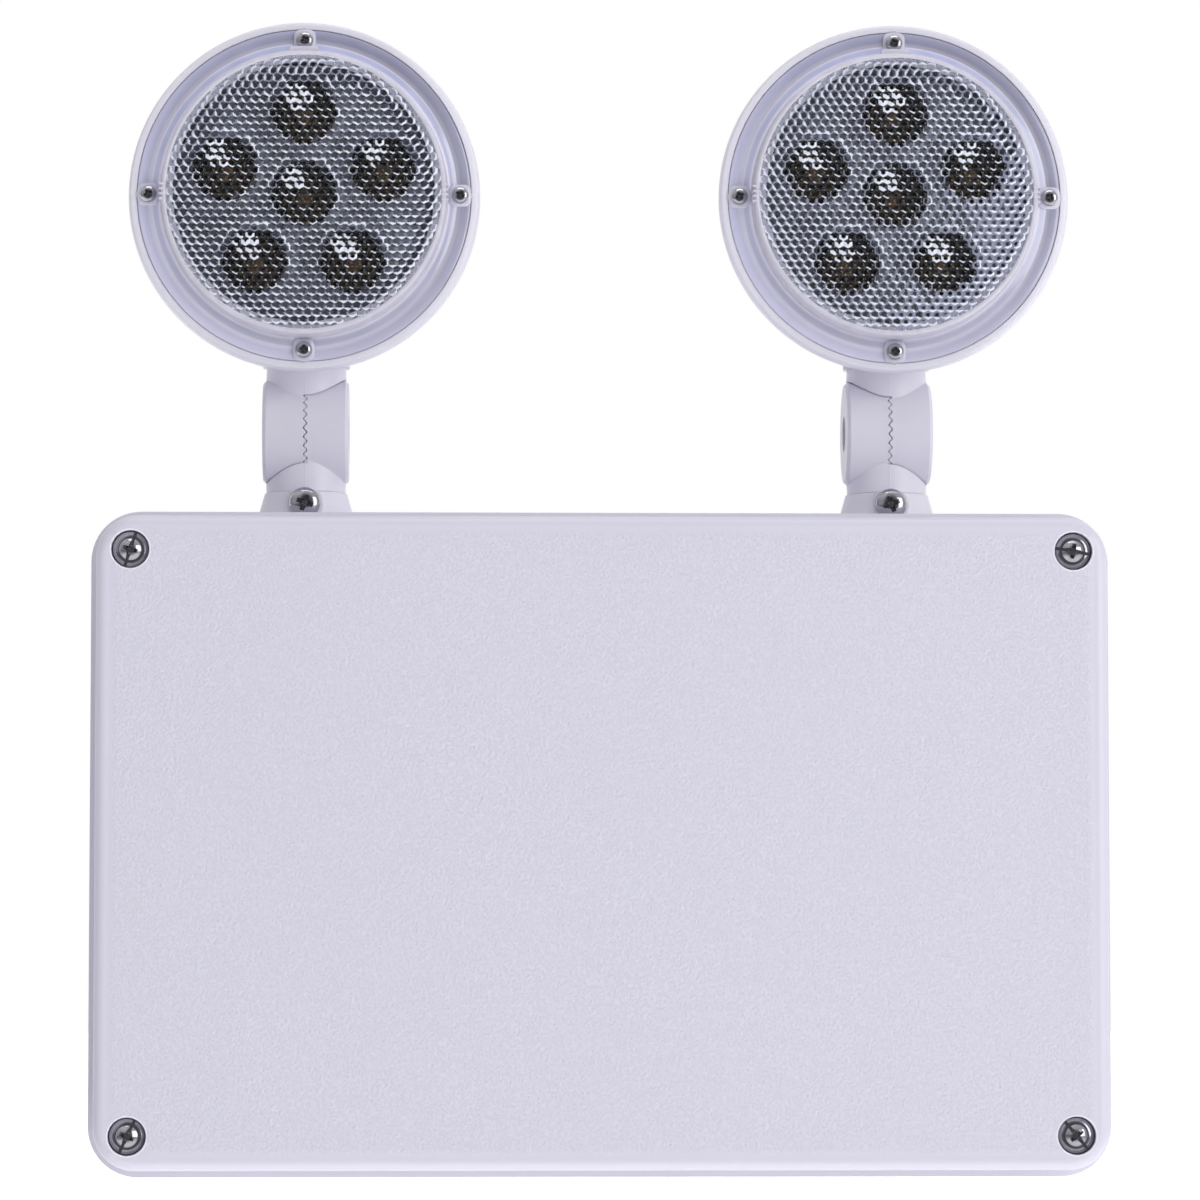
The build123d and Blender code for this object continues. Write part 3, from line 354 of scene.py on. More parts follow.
M = {
    "housing": finish("housing_plastic", srgb(222, 220, 232), 0.42, grain=0.5, depth=0.012, tone=0.975),
    "cover": cover_finish("cover_plastic", srgb(213, 211, 225)),
    # Arm plastic painted lighter than the cover's, as painted light that lifts the shade on the arms and
    # knuckles under the heads.
    "arm": arm_finish("arm_plastic", srgb(238, 236, 247)),
    "head": finish(
        "head_plastic", srgb(228, 226, 237), 0.36,
        grain=0.8, depth=0.006, tone=0.97, edge=0.7, Specular_IOR_Level=0.35,
    ),
    # Painted highlight: the lip round each cover screw's recess is lighter than the cover plastic it is
    # part of.
    "lip": finish("recess_lip", srgb(236, 234, 245), 0.16, grain=0.8, depth=0.004, tone=0.98, edge=0.0),
    "rubber": finish("gasket_rubber", srgb(120, 120, 128), 0.62, grain=0.3, depth=0.02),
    "lens_gasket": finish("lens_gasket", srgb(188, 184, 205), 0.6, grain=0.3, depth=0.02),
    "screw": brushed("screw_steel", srgb(182, 181, 188), 0.11),
    "zinc": brushed("zinc_steel", srgb(196, 198, 200), 0.3, 0.6),
    "brass": brushed("insert_brass", srgb(206, 168, 96), 0.28),
    "battery": finish("battery_case", srgb(84, 88, 96), 0.55, grain=0.9, depth=0.03),
    "board": board_finish("circuit_board", srgb(38, 92, 62), srgb(60, 122, 84)),
    "iron": finish("transformer_iron", srgb(104, 104, 108), 0.5, metallic=0.6, grain=0.7),
    "relay": finish("relay_case", srgb(44, 62, 110), 0.35, grain=0.6, depth=0.01),
    "can": finish("capacitor_can", srgb(52, 54, 64), 0.3, grain=0.6, depth=0.01),
    "terminal": finish("terminal_plastic", srgb(70, 120, 84), 0.45, grain=0.6),
    "black": finish("switch_black", srgb(34, 34, 36), 0.4, grain=0.5),
    "red": finish("button_red", srgb(188, 36, 34), 0.32, grain=0.5, depth=0.008),
    "indicator": finish(
        "indicator_lens", srgb(64, 176, 92), 0.12, grain=1.2, depth=0.01, Transmission_Weight=0.4
    ),
    "flange": flange_finish("lens_flange"),
    "edge": clear_finish("lens_edge", srgb(238, 236, 250), 0.85, 0.2, 0.15),
    "prisms": clear_finish("lens_prisms", srgb(240, 242, 252), 0.78, 0.03, 1.0),
    # Painted highlight, painted light and painted shade for the faces of the lens's small domes: mostly
    # opaque colours in place of what the domes refract.
    "painted_highlight": clear_finish("lens_painted_highlight", srgb(234, 238, 252), 0.94, 0.25, 0.0),
    "painted_light": clear_finish("lens_painted_light", srgb(158, 163, 186), 0.72, 0.2, 0.0),
    "shade": clear_finish("lens_painted_shade", srgb(20, 20, 26), 0.6, 0.08, 0.0),
    "boss": clear_finish("lens_boss", srgb(228, 227, 243), 0.92, 0.08, 0.1),
    # Painted shade: the reflector's plating, its cups, the white LED board and the yellow LEDs have darker
    # colours than their own, for the shade behind the lens.
    "mirror": finish(
        "reflector_metal", srgb(112, 115, 127), 0.4, metallic=1.0, grain=2.0, depth=0.02, edge=0.0
    ),
    "cup": finish(
        "reflector_cup", srgb(104, 107, 120), 0.1, metallic=1.0, grain=3.0, depth=0.01, edge=0.0
    ),
    "led_board": finish("led_board_white", srgb(112, 112, 114), 0.45, grain=0.6, edge=0.0),
    "led": finish("led_yellow", srgb(138, 98, 34), 0.3, grain=0.4, edge=0.0),
}

NODE_FINISH = {
    "rear_housing": "housing",
    "front_cover": "cover",
    "housing_gasket": "rubber",
    "cover_screws": "screw",
    "cover_screw_seals": "rubber",
    "battery_pack": "battery",
    "battery_bracket": "zinc",
    "bracket_screws": "zinc",
    "control_board": "board",
    "board_screws": "zinc",
    "transformer": "iron",
    "relay": "relay",
    "capacitors": "can",
    "terminal_block": "terminal",
    "test_switch": "black",
    "test_switch_nut": "zinc",
    "test_button": "red",
    "charge_indicator": "indicator",
    "collar": "arm",
    "collar_nut": "arm",
    "clamp_screw": "screw",
    "lower_arm": "arm",
    "stem_ring": "rubber",
    "upper_arm": "arm",
    "pivot_insert": "brass",
    "pivot_screw": "screw",
    "head_shell": "head",
    "neck_nut": "arm",
    "lens_gasket": "lens_gasket",
    "lens": "flange",
    "lens_screws": "screw",
    "reflector": "mirror",
    "led_board": "led_board",
    "leds": "led",
}


def dress_nodes():
    for name, obj in NODES.items():
        plain = name.removeprefix("left_").removeprefix("right_")
        mat = M[NODE_FINISH[plain]]
        if not obj.material_slots:
            obj.data.materials.append(mat)
        for slot in obj.material_slots:
            slot.material = mat


# Mesh building, in millimetres


def lathe(outline, steps):
    """Turns (radius, height) points about the local Z axis."""
    points, rings = [], []
    for radius, height in outline:
        if radius < 1e-6:
            rings.append([len(points)] * steps)
            points.append((0, 0, height))
            continue
        rings.append(list(range(len(points), len(points) + steps)))
        angles = [math.tau * i / steps for i in range(steps)]
        points += [(radius * math.cos(a), radius * math.sin(a), height) for a in angles]
    faces = []
    for low, high in zip(rings, rings[1:]):
        for i in range(steps):
            j = (i + 1) % steps
            face = list(dict.fromkeys((low[i], low[j], high[j], high[i])))
            if len(face) > 2:
                faces.append(face)
    return points, faces


def prism(outlines):
    """Joins outlines with equal numbers of (x, y, z) points, and closes both ends."""
    count = len(outlines[0])
    points = [p for outline in outlines for p in outline]
    faces = [list(range(count - 1, -1, -1))]
    faces.append([len(points) - count + i for i in range(count)])
    for level in range(len(outlines) - 1):
        base = level * count
        for i in range(count):
            j = (i + 1) % count
            faces.append([base + i, base + j, base + count + j, base + count + i])
    return points, faces


def extruded(outline, low, high):
    """Solid between two heights with the same (x, y) outline."""
    return prism([[(x, y, z) for x, y in outline] for z in (low, high)])


def rounded(half_x, half_y, corner, z, steps=6):
    """Rounded rectangle as a list of points at one height."""
    outline = []
    for quarter, (sx, sy) in enumerate(((1, 1), (-1, 1), (-1, -1), (1, -1))):
        for i in range(steps + 1):
            a = math.radians(90 * quarter + 90 * i / steps)
            x = sx * (half_x - corner) + corner * math.cos(a)
            y = sy * (half_y - corner) + corner * math.sin(a)
            outline.append((x, y, z))
    return outline


class Form:
    """Faces gathered in millimetres before they become one piece."""

    def __init__(self):
        self.points = []
        self.faces = []
        self.slots = []

    def add(self, shape, slot=0, at=None):
        points, faces = shape
        base = len(self.points)
        self.points += [(at @ Vector(p)) if at else Vector(p) for p in points]
        self.faces += [[base + i for i in face] for face in faces]
        self.slots += [slot] * len(faces)
        return self

    def mesh(self, name, scale=MM):
        mesh = bpy.data.meshes.new(name)
        mesh.from_pydata([p * scale for p in self.points], [], self.faces)
        mesh.polygons.foreach_set("material_index", self.slots)
        shape = bmesh.new()
        shape.from_mesh(mesh)
        bmesh.ops.remove_doubles(shape, verts=shape.verts, dist=1e-4 * scale)
        bmesh.ops.recalc_face_normals(shape, faces=shape.faces)
        shape.to_mesh(mesh)
        shape.free()
        return mesh


SMOOTH = 35  # angle in degrees up to which the edges of a piece are smooth


def place(mesh, name, body, finishes, slot, replaced=(), angle=SMOOTH):
    """Makes a piece that rides on a body."""
    for mat in finishes:
        mesh.materials.append(M[mat])
    mesh.polygons.foreach_set("use_smooth", [True] * len(mesh.polygons))
    mesh.set_sharp_from_angle(angle=math.radians(angle))
    obj = bpy.data.objects.new(name, mesh)
    bpy.context.scene.collection.objects.link(obj)
    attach(obj, body)
    if replaced:
        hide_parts(*replaced)


def facing(origin, direction):
    """Frame at a point with its Z axis along a direction."""
    turn = Vector(direction).to_track_quat("Z", "Y").to_matrix().to_4x4()
    return Matrix.Translation(Vector(origin)) @ turn


def front_frame(x, y, z):
    """Across is +X, up is +Z and forward is -Y."""
    turn = Matrix(((1, 0, 0, 0), (0, 0, -1, 0), (0, 1, 0, 0), (0, 0, 0, 1)))
    return Matrix.Translation(Vector((x, y, z))) @ turn


def spun(at, degrees):
    """Frame turned about its own Z axis."""
    return at @ Matrix.Rotation(math.radians(degrees), 4, "Z")


def cut(shape, cutters):
    """Takes closed shapes out of a closed shape and returns points and faces."""
    scene = bpy.context.scene.collection
    base = bpy.data.objects.new("blank", Form().add(shape).mesh("blank", 1.0))
    scene.objects.link(base)
    made = [base]
    for index, cutter in enumerate(cutters):
        tool = bpy.data.objects.new(f"tool_{index}", Form().add(cutter).mesh(f"tool_{index}", 1.0))
        scene.objects.link(tool)
        made.append(tool)
        modifier = base.modifiers.new(f"cut_{index}", "BOOLEAN")
        modifier.operation = "DIFFERENCE"
        modifier.solver = "EXACT"
        modifier.object = tool
    bpy.context.view_layer.update()
    graph_now = bpy.context.evaluated_depsgraph_get()
    result = bpy.data.meshes.new_from_object(base.evaluated_get(graph_now))
    points = [tuple(v.co) for v in result.vertices]
    faces = [list(p.vertices) for p in result.polygons]
    bpy.data.meshes.remove(result)
    for obj in made:
        mesh = obj.data
        bpy.data.objects.remove(obj)
        bpy.data.meshes.remove(mesh)
    return points, faces


# Screws, in millimetres

Screw = namedtuple("Screw", "radius height shank")
COVER_SCREW = Screw(4.92, 3.2, 2.5)
CLAMP_SCREW = Screw(4.5, 3.0, 2.0)
LENS_SCREW = Screw(2.4, 1.8, 1.45)
PIVOT_SCREW = Screw(4.5, 3.2, 2.5)

# Places: x, z and turn of the recess in degrees on the cover; across and up from the axis of a lamp head
COVER_SCREWS = ((-131, 81, 72), (131, 81, -10), (-131, -81, 65), (131, -81, -50))
LENS_SCREW_RING = 44.25
LENS_SCREWS = ((0, LENS_SCREW_RING), (LENS_SCREW_RING, 0), (0, -LENS_SCREW_RING), (-LENS_SCREW_RING, 0))
CLAMP_TURN = 20  # turn of a clamp screw's recess, in degrees
LENS_TURN = 25  # turn of the first lens screw's recess, in degrees
LENS_TURN_STEP = 31  # further turn of each next one

SCREW_SMOOTH = 30  # angle in degrees up to which a screw's edges are smooth
CAP_ANGLE = 35  # angle from its top, in degrees, at which the ball cap of a cover screw ends
CAP_STEP = 0.95  # height of that cap over the outer ring

# Lip round a cover screw's recess, as radius and height over the cover's face; it is painted lighter than
# the cover, as a painted highlight
RECESS_LIP = [(5.23, -0.7), (5.25, -0.35), (5.31, -0.12), (5.39, -0.01)]
RECESS_LIP += [(5.5, 0.04), (5.62, 0.03), (5.76, -0.02)]


def cross(length, width, z):
    """Outline of a cross recess: half of it, then the same turned half round."""
    half = [(length, -width), (length, width), (width, width)]
    half += [(width, length), (-width, length), (-width, width)]
    return [(x, y, z) for x, y in half + [(-x, -y) for x, y in half]]


def round_crown(radius, height, dome):
    """Pan head from its side to its top; a lower dome value makes it fuller."""
    side = 0.32 * height
    angles = [math.radians(90 * i / 12) for i in range(12)]
    crown = [(radius * math.cos(a) ** dome, side + (height - side) * math.sin(a)) for a in angles]
    return crown + [(0, height)]


def stepped_crown(radius, height):
    """Sloped outer ring with a ball cap inside it."""
    step = height - CAP_STEP
    ring = ((1, 0.8), (0.985, 0.55), (0.94, 0.38), (0.64, 0))
    crown = [(share * radius, step - drop) for share, drop in ring]
    ball = 0.62 * radius / math.sin(math.radians(CAP_ANGLE))
    for degrees in range(CAP_ANGLE, -1, -5):
        a = math.radians(degrees)
        crown.append((ball * math.sin(a), height - ball * (1 - math.cos(a))))
    return crown


def recess_tools(radius, height, slotted):
    """What is cut from a head: a tapered cross, and a slot right across a slotted one."""
    reach, arm = (0.47, 0.12) if slotted else (0.56, 0.15)
    taper = [
        cross(0.2 * radius, 0.07 * radius, height - 0.62 * height),
        cross(reach * radius, arm * radius, height * 0.95),
        cross((reach + 0.06) * radius, (arm + 0.03) * radius, height * 1.1),
    ]
    tools = [prism(taper)]
    if slotted:
        end, half = 1.2 * radius, 0.09 * radius
        slot = [(end, -half), (end, half), (-end, half), (-end, -half)]
        tools.append(extruded(slot, 0.47 * height, 1.2 * height))
    return tools


def screw_shape(size, length, slotted=False, dome=0.62):
    """Pan head with a recess, and a ribbed shank of a length below it."""
    radius, height, shank = size
    crown = stepped_crown(radius, height) if slotted else round_crown(radius, height, dome)
    head = lathe([(0, 0), (radius * 0.94, 0), (radius, 0.06 * height)] + crown, 64)
    form = Form().add(cut(head, recess_tools(radius, height, slotted)))
    pitch = 0.32 * shank
    outline = [(0, 0.02), (shank, 0.02)]
    for i in range(int(length / pitch)):
        outline += [(shank, -i * pitch), (shank * 0.86, -(i + 0.5) * pitch)]
    outline += [(shank * 0.6, -length), (0, -length)]
    form.add(lathe(outline, 24))
    return [tuple(p) for p in form.points], form.faces


def cover_screws():
    low, high = (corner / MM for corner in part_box("cover_screws"))
    shape = screw_shape(COVER_SCREW, high.y - low.y - COVER_SCREW.height, slotted=True)
    name = "cover_screw_set"
    form = Form()
    rims = Form()
    for x, z, turn in COVER_SCREWS:
        form.add(shape, 0, spun(front_frame(x, low.y + COVER_SCREW.height, z), turn))
        rims.add(lathe(RECESS_LIP, 64), 0, front_frame(x, CAD_BOX[0][1] / MM, z))
    place(form.mesh(name), name, "housing", ["screw"], "screw_steel", ["cover_screws"], SCREW_SMOOTH)
    place(rims.mesh("cover_recess_rims"), "cover_recess_rims", "housing", ["lip"], "cover_plastic")


def clamp_screw(side, s):
    low, high = (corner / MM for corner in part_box(f"{side}_clamp_screw"))
    shape = screw_shape(CLAMP_SCREW, high.y - low.y - CLAMP_SCREW.height, dome=0.8)
    at = front_frame(s * ARM_X, low.y + CLAMP_SCREW.height, (low.z + high.z) / 2)
    mesh = Form().add(shape, 0, spun(at, CLAMP_TURN * s)).mesh("clamp")
    name = f"{side}_clamp_screw_detail"
    place(mesh, name, "housing", ["screw"], "screw_steel", [f"{side}_clamp_screw"], SCREW_SMOOTH)


def lens_screws(side, s):
    low, high = (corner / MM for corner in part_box(f"{side}_lens_screws"))
    shape = screw_shape(LENS_SCREW, high.y - low.y - LENS_SCREW.height)
    form = Form()
    for index, (across, up) in enumerate(LENS_SCREWS):
        at = front_frame(s * ARM_X + across, low.y + LENS_SCREW.height, HEAD_Z + up)
        form.add(shape, 0, spun(at, LENS_TURN + LENS_TURN_STEP * index))
    name = f"{side}_lens_screw_set"
    replaced = [f"{side}_lens_screws"]
    place(form.mesh(name), name, f"{side}_head", ["screw"], "screw_steel", replaced, SCREW_SMOOTH)


def pivot_screw(side, s):
    low, high = (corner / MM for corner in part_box(f"{side}_pivot_screw"))
    shape = screw_shape(PIVOT_SCREW, high.x - low.x - PIVOT_SCREW.height, dome=0.7)
    x = high.x - PIVOT_SCREW.height if s < 0 else low.x + PIVOT_SCREW.height
    at = facing((x, (low.y + high.y) / 2, (low.z + high.z) / 2), (-s, 0, 0))
    mesh = Form().add(shape, 0, at).mesh("pivot")
    name = f"{side}_pivot_screw_detail"
    replaced = [f"{side}_pivot_screw"]
    place(mesh, name, f"{side}_head", ["screw"], "screw_steel", replaced, SCREW_SMOOTH)


def screws():
    cover_screws()
    for side, s in SIDES:
        clamp_screw(side, s)
        lens_screws(side, s)
        pivot_screw(side, s)


# Lens, with its prismatic face, in millimetres from the flange's front

CUP_RING = 23.5
CUP_R = 9.0


def cup_places():
    angles = [math.radians(90 + 72 * k) for k in range(5)]
    return [(0.0, 0.0)] + [(CUP_RING * math.cos(a), CUP_RING * math.sin(a)) for a in angles]


LENS_SMOOTH = 50  # angle in degrees up to which a lens's edges are smooth

# Field of small domes
CELL = 2.52  # pitch of the domes across
CELL_ROW = 0.866  # distance between rows, as a share of that pitch
CELL_LEVELS = 4  # rings of faces in a dome
CELL_SQUASH = 0.93  # how far the field is squeezed from top to bottom
FACE_R = 39.0  # radius of the field
FACE_BASE = 7.3  # height of the valleys
FACE_RISE = 0.5  # rise of a dome

# Directions as (across, up)
LIT_SIDE = (-0.5, -0.87)  # side of each dome with the painted highlight
PAINTED_LIGHT_SIDE = (0.87, -0.5)  # side of the right-hand lens with more painted light
CUP_PAINTED_HIGHLIGHT = (-0.24, 0.42)  # middle of the painted highlight in a cup, in cup radii


def hex_ring(count):
    """Points round a unit hexagon ring, split into steps per side."""
    angles = [math.radians(30 + 60 * k) for k in range(6)]
    corners = [(math.cos(a), math.sin(a)) for a in angles]
    ring = []
    for k in range(6):
        (x0, y0), (x1, y1) = corners[k], corners[(k + 1) % 6]
        ring += [(x0 + (x1 - x0) * i / count, y0 + (y1 - y0) * i / count) for i in range(count)]
    return ring


def cell_shape():
    """One unit cell: points with a height share, and faces as (level, face), level 1 in the middle."""
    points = [(0.0, 0.0, 1.0)]
    rings = [[0]]
    for level in range(1, CELL_LEVELS + 1):
        share = level / CELL_LEVELS
        ring = hex_ring(level)
        rings.append(list(range(len(points), len(points) + len(ring))))
        for x, y in ring:
            x, y = x * share, y * share
            points.append((x, y, 1 - (x * x + y * y)))
    faces = []
    for level in range(1, CELL_LEVELS + 1):
        inner, outer = rings[level - 1], rings[level]
        for k in range(6):
            for i in range(level):
                a = outer[(k * level + i) % len(outer)]
                b = outer[(k * level + i + 1) % len(outer)]
                c = inner[(k * (level - 1) + i) % len(inner)]
                faces.append((level, [a, b, c]))
                if i < level - 1:
                    d = inner[(k * (level - 1) + i + 1) % len(inner)]
                    faces.append((level, [b, d, c]))
    return points, faces


def cup_tones(dx, dy, heading, chance, painted_light):
    """Painted highlight, painted shade and painted light of a cell over a cup or its lip, from the cup's
    middle, or none when it is over neither.
    """
    away = math.hypot(dx, dy)
    if away < CUP_R - 0.6:
        # Painted highlight: a bright patch in each cup, as a lamp mirrored in its wall.
        bright = math.hypot(dx - CUP_PAINTED_HIGHLIGHT[0] * CUP_R, dy - CUP_PAINTED_HIGHLIGHT[1] * CUP_R) / CUP_R
        if bright < 0.42:
            return [("painted_highlight", -110 + 50 * chance, 88 + 80 * chance, 2 if bright < 0.28 else 3)]
        # Thin painted highlights over the rest of the cup, and painted shade on the upper side of each
        # dome.
        return [("painted_highlight", heading, 24 + 56 * chance, 4), ("shade", 90, 110, 3)]
    # Painted reflection of the cup's lip: broken bright arcs round it, with painted light.
    if away < CUP_R + 0.7 and chance > -0.3:
        return [("painted_highlight", math.degrees(math.atan2(dy, dx)), 46 + 40 * chance, 4), painted_light]
    return None


def cell_tones(x, y, chance, extra_painted_light):
    """Parts of the cell at a place that aren't clear, which carry painted highlight, painted light and
    painted shade: (tone, direction, half width, level it starts at).

    Directions and half widths are in degrees. Chance is from -0.5 to 0.5, and extra painted light, from 0
    to 1, adds painted light.
    """
    reach = math.hypot(x, y) / FACE_R
    pull = 0.85 * reach**4
    lit_x, lit_y = (lit * (1 - pull) + pull * value / FACE_R for lit, value in zip(LIT_SIDE, (x, y)))
    heading = math.degrees(math.atan2(lit_y, lit_x)) + 20 * chance
    # More painted light on the right-hand lens, towards its lower right.
    lean = max(0.0, (PAINTED_LIGHT_SIDE[0] * x + PAINTED_LIGHT_SIDE[1] * y) / FACE_R) * extra_painted_light
    painted_light_width = 72 + 24 * chance + 60 * reach**6 + 50 * extra_painted_light + 60 * lean
    painted_light = ("painted_light", -90, painted_light_width, 3 if lean + 0.5 * chance > 0.45 else 4)
    for cup_x, cup_y in cup_places():
        tones = cup_tones(x - cup_x, y - cup_y, heading, chance, painted_light)
        if tones:
            return tones
    # Painted highlight along the lit side of each dome, painted light along its lower edge, and painted
    # shade on the far side.
    arc = ("painted_highlight", heading, 38 + 42 * reach**5 + 26 * chance, 4)
    spark = ("painted_highlight", heading, 18 + 24 * chance + 34 * reach**4, 3)
    shade = ("shade", heading + 180, 26 + 30 * chance, 3)
    return [arc, spark, painted_light, shade]


def chance_at(row, col):
    """Fixed scatter from -0.5 to 0.5 for a cell."""
    return (math.sin(row * 12.9898 + col * 78.233) * 43758.5453) % 1.0 - 0.5


def prism_face(extra_painted_light):
    """Field of small domes on a hexagonal grid, trimmed to a disc: points, and faces by tone: clear,
    painted highlight, painted light and painted shade.
    """
    unit, unit_faces = cell_shape()
    turns = []
    for level, face in unit_faces:
        middle = sum((Vector(unit[i]) for i in face), Vector())
        turns.append(math.degrees(math.atan2(middle.y, middle.x)))
    corner = CELL / math.sqrt(3)
    points = []
    tones = {"clear": [], "painted_highlight": [], "painted_light": [], "shade": []}
    rows = int(FACE_R / (CELL * CELL_ROW * CELL_SQUASH)) + 1
    columns = int(FACE_R / CELL) + 2
    for row in range(-rows, rows + 1):
        y0 = row * CELL * CELL_ROW
        shift = 0.5 * CELL * (row % 2)
        for col in range(-columns, columns + 1):
            x0 = col * CELL + shift
            if math.hypot(x0, y0 * CELL_SQUASH) > FACE_R + 0.4 * CELL:
                continue
            base = len(points)
            for x, y, share in unit:
                px, py = x0 + x * corner, (y0 + y * corner) * CELL_SQUASH
                reach = math.hypot(px, py)
                if reach > FACE_R:
                    px, py, share = px * FACE_R / reach, py * FACE_R / reach, 0.0
                points.append((px, py, FACE_BASE + FACE_RISE * share))
            parts = cell_tones(x0, y0 * CELL_SQUASH, chance_at(row, col), extra_painted_light)
            for (level, face), turn in zip(unit_faces, turns):
                kind = "clear"
                for tone, heading, half, start in reversed(parts):
                    if level >= start and abs((turn - heading + 180) % 360 - 180) < half:
                        kind = tone
                tones[kind].append([base + i for i in face])
    return points, tones


# Outlines of the lens, as radius and height
FLANGE_OUTLINE = [(47.38, -2.5), (47.38, -0.25), (47.1, 0), (44.7, 0), (44.55, -0.12)]
FLANGE_OUTLINE += [(43.2, -0.12), (43.05, 0), (41.4, 0), (41.0, 0.15)]
WALL_OUTLINE = [(41.0, 0.15), (40.7, 0.6), (40.45, 6.6), (40.25, 7.4), (39.9, 7.8), (39.4, 7.9)]
WALL_OUTLINE += [(FACE_R, 7.6), (FACE_R, FACE_BASE)]
INSIDE_OUTLINE = [(39.0, 7.1), (37.0, 6.9), (37.4, 3.1), (37.8, 5.6), (38.8, -2.5), (47.38, -2.5)]

# Finishes of the lens in the order of its slots, and the slot of each tone and part
LENS_FINISHES = ["flange", "edge", "prisms", "boss", "painted_highlight", "painted_light", "shade"]
FLANGE_SLOT, EDGE_SLOT, BOSS_SLOT = 0, 1, 3
TONE_SLOTS = {"clear": 2, "painted_highlight": 4, "painted_light": 5, "shade": 6}

# Seat of a lens screw, as half width, corner and height, and the arrow on it
SEAT = ((3.1, 1.8, -0.4), (3.1, 1.8, 0.55), (2.85, 1.7, 0.8))
ARROW = [(-1.9, 2.6), (1.9, 2.6), (0, 3.7)]
ARROW_TOP = 0.5

# Marks of the cap's rim: a tab, and rungs as half width, half thickness, corner and height
TAB = [(-4.5, 39.2), (4.5, 39.2), (3.8, 41.6), (-3.8, 41.6)]
TAB_TOP = 7.0
RUNG = ((1.1, 0.3, 0.25, 3.0), (1.0, 0.25, 0.2, 7.95))
RUNG_X = 39.9
RUNG_START = -2.1
RUNG_PITCH = 1.4
RUNG_COUNT = 4


def screw_seats(form, at):
    """Square seat of each lens screw, with an arrow that points outwards."""
    for index, (across, up) in enumerate(LENS_SCREWS):
        turn = Matrix.Rotation(math.radians(-90 * index), 4, "Z")
        seat = at @ Matrix.Translation(Vector((across, up, 0))) @ turn
        form.add(prism([rounded(half, half, corner, z) for half, corner, z in SEAT]), BOSS_SLOT, seat)
        form.add(extruded(ARROW, 0.06, ARROW_TOP), BOSS_SLOT, seat)


def rim_marks(form, at):
    """Tab at the top of the cap, and a ladder of rungs at each side."""
    form.add(extruded(TAB, 0.0, TAB_TOP), EDGE_SLOT, at)
    rung = prism([rounded(*size, steps=3) for size in RUNG])
    for s in (-1, 1):
        for k in range(RUNG_COUNT):
            up = RUNG_START + RUNG_PITCH * k
            form.add(rung, EDGE_SLOT, at @ Matrix.Translation(Vector((s * RUNG_X, up, 0))))


def lens():
    for side, s in SIDES:
        at = front_frame(s * ARM_X, FACE_Y, HEAD_Z)
        form = Form().add(lathe(FLANGE_OUTLINE, 144), FLANGE_SLOT, at)
        form.add(lathe(WALL_OUTLINE, 144), EDGE_SLOT, at)
        # Only the right-hand lens gets the extra painted light.
        points, tones = prism_face(extra_painted_light=max(s, 0))
        for tone, slot in TONE_SLOTS.items():
            form.add((points, tones[tone]), slot, at)
        form.add(lathe(INSIDE_OUTLINE, 96), EDGE_SLOT, at)
        screw_seats(form, at)
        rim_marks(form, at)
        name = f"{side}_lens_detail"
        replaced = [f"{side}_lens"]
        place(form.mesh(name), name, f"{side}_head", LENS_FINISHES, "lens_clear", replaced, LENS_SMOOTH)


# Reflector with six cups

PLATE_R = 36.9  # radius of the plate
PLATE_Z = 3.0  # height of the plate over the flange
CUP_LIP = 0.75  # width of a cup's lip
CUP_END_R = 2.4  # radius of a cup's lower end
CUP_DEPTH = 11.9  # depth of a cup
CUP_STEPS = 16  # steps of its curve
CUP_SMOOTH = 60  # angle in degrees up to which its edges are smooth


def plate_with_holes(radius, height, holes, hole_r):
    """Flat disc with round holes."""
    shape = bmesh.new()
    for cx, cy, r, count in [(0, 0, radius, 96)] + [(x, y, hole_r, 48) for x, y in holes]:
        angles = [math.tau * i / count for i in range(count)]
        ring = [shape.verts.new((cx + r * math.cos(a), cy + r * math.sin(a), height)) for a in angles]
        for i in range(count):
            shape.edges.new((ring[i], ring[(i + 1) % count]))
    bmesh.ops.triangle_fill(shape, use_beauty=True, use_dissolve=False, edges=shape.edges)
    shape.verts.index_update()
    points = [tuple(v.co) for v in shape.verts]
    faces = [[v.index for v in face.verts] for face in shape.faces]
    shape.free()
    return points, faces


def reflector():
    # Outlines as radius and height: a cup from its lip inwards, and the skirt round the plate
    cup = [(CUP_R + CUP_LIP, PLATE_Z), (CUP_R + 0.55, PLATE_Z + 0.3), (CUP_R + 0.2, PLATE_Z + 0.35)]
    for i in range(CUP_STEPS + 1):
        t = i / CUP_STEPS
        cup.append((CUP_END_R + (CUP_R - CUP_END_R) * (1 - t) ** 0.9, PLATE_Z - CUP_DEPTH * t))
    skirt = [(PLATE_R, PLATE_Z), (37.25, 2.7), (37.3, -2.5), (40.6, -2.5), (40.6, -3.1)]
    for side, s in SIDES:
        at = front_frame(s * ARM_X, FACE_Y, HEAD_Z)
        form = Form().add(plate_with_holes(PLATE_R, PLATE_Z, cup_places(), CUP_R + CUP_LIP), 0, at)
        form.add(lathe(skirt, 96), 0, at)
        for x, y in cup_places():
            form.add(lathe(cup, 48), 1, at @ Matrix.Translation(Vector((x, y, 0))))
        name = f"{side}_reflector_detail"
        replaced = [f"{side}_reflector"]
        finishes = ["mirror", "cup"]
        place(form.mesh(name), name, f"{side}_head", finishes, "reflector_metal", replaced, CUP_SMOOTH)


# Teeth of the knuckles

TOOTH_COUNT = 36
TOOTH_WAVE = 0.5  # half height of a tooth
TOOTH_SLIT = 0.28  # gap between the two halves
TOOTH_FOOT_R = 11.6  # inner radius of the wavy ring
TOOTH_R = 15.03  # outer radius
TOOTH_SMOOTH = 40  # angle in degrees up to which its edges are smooth


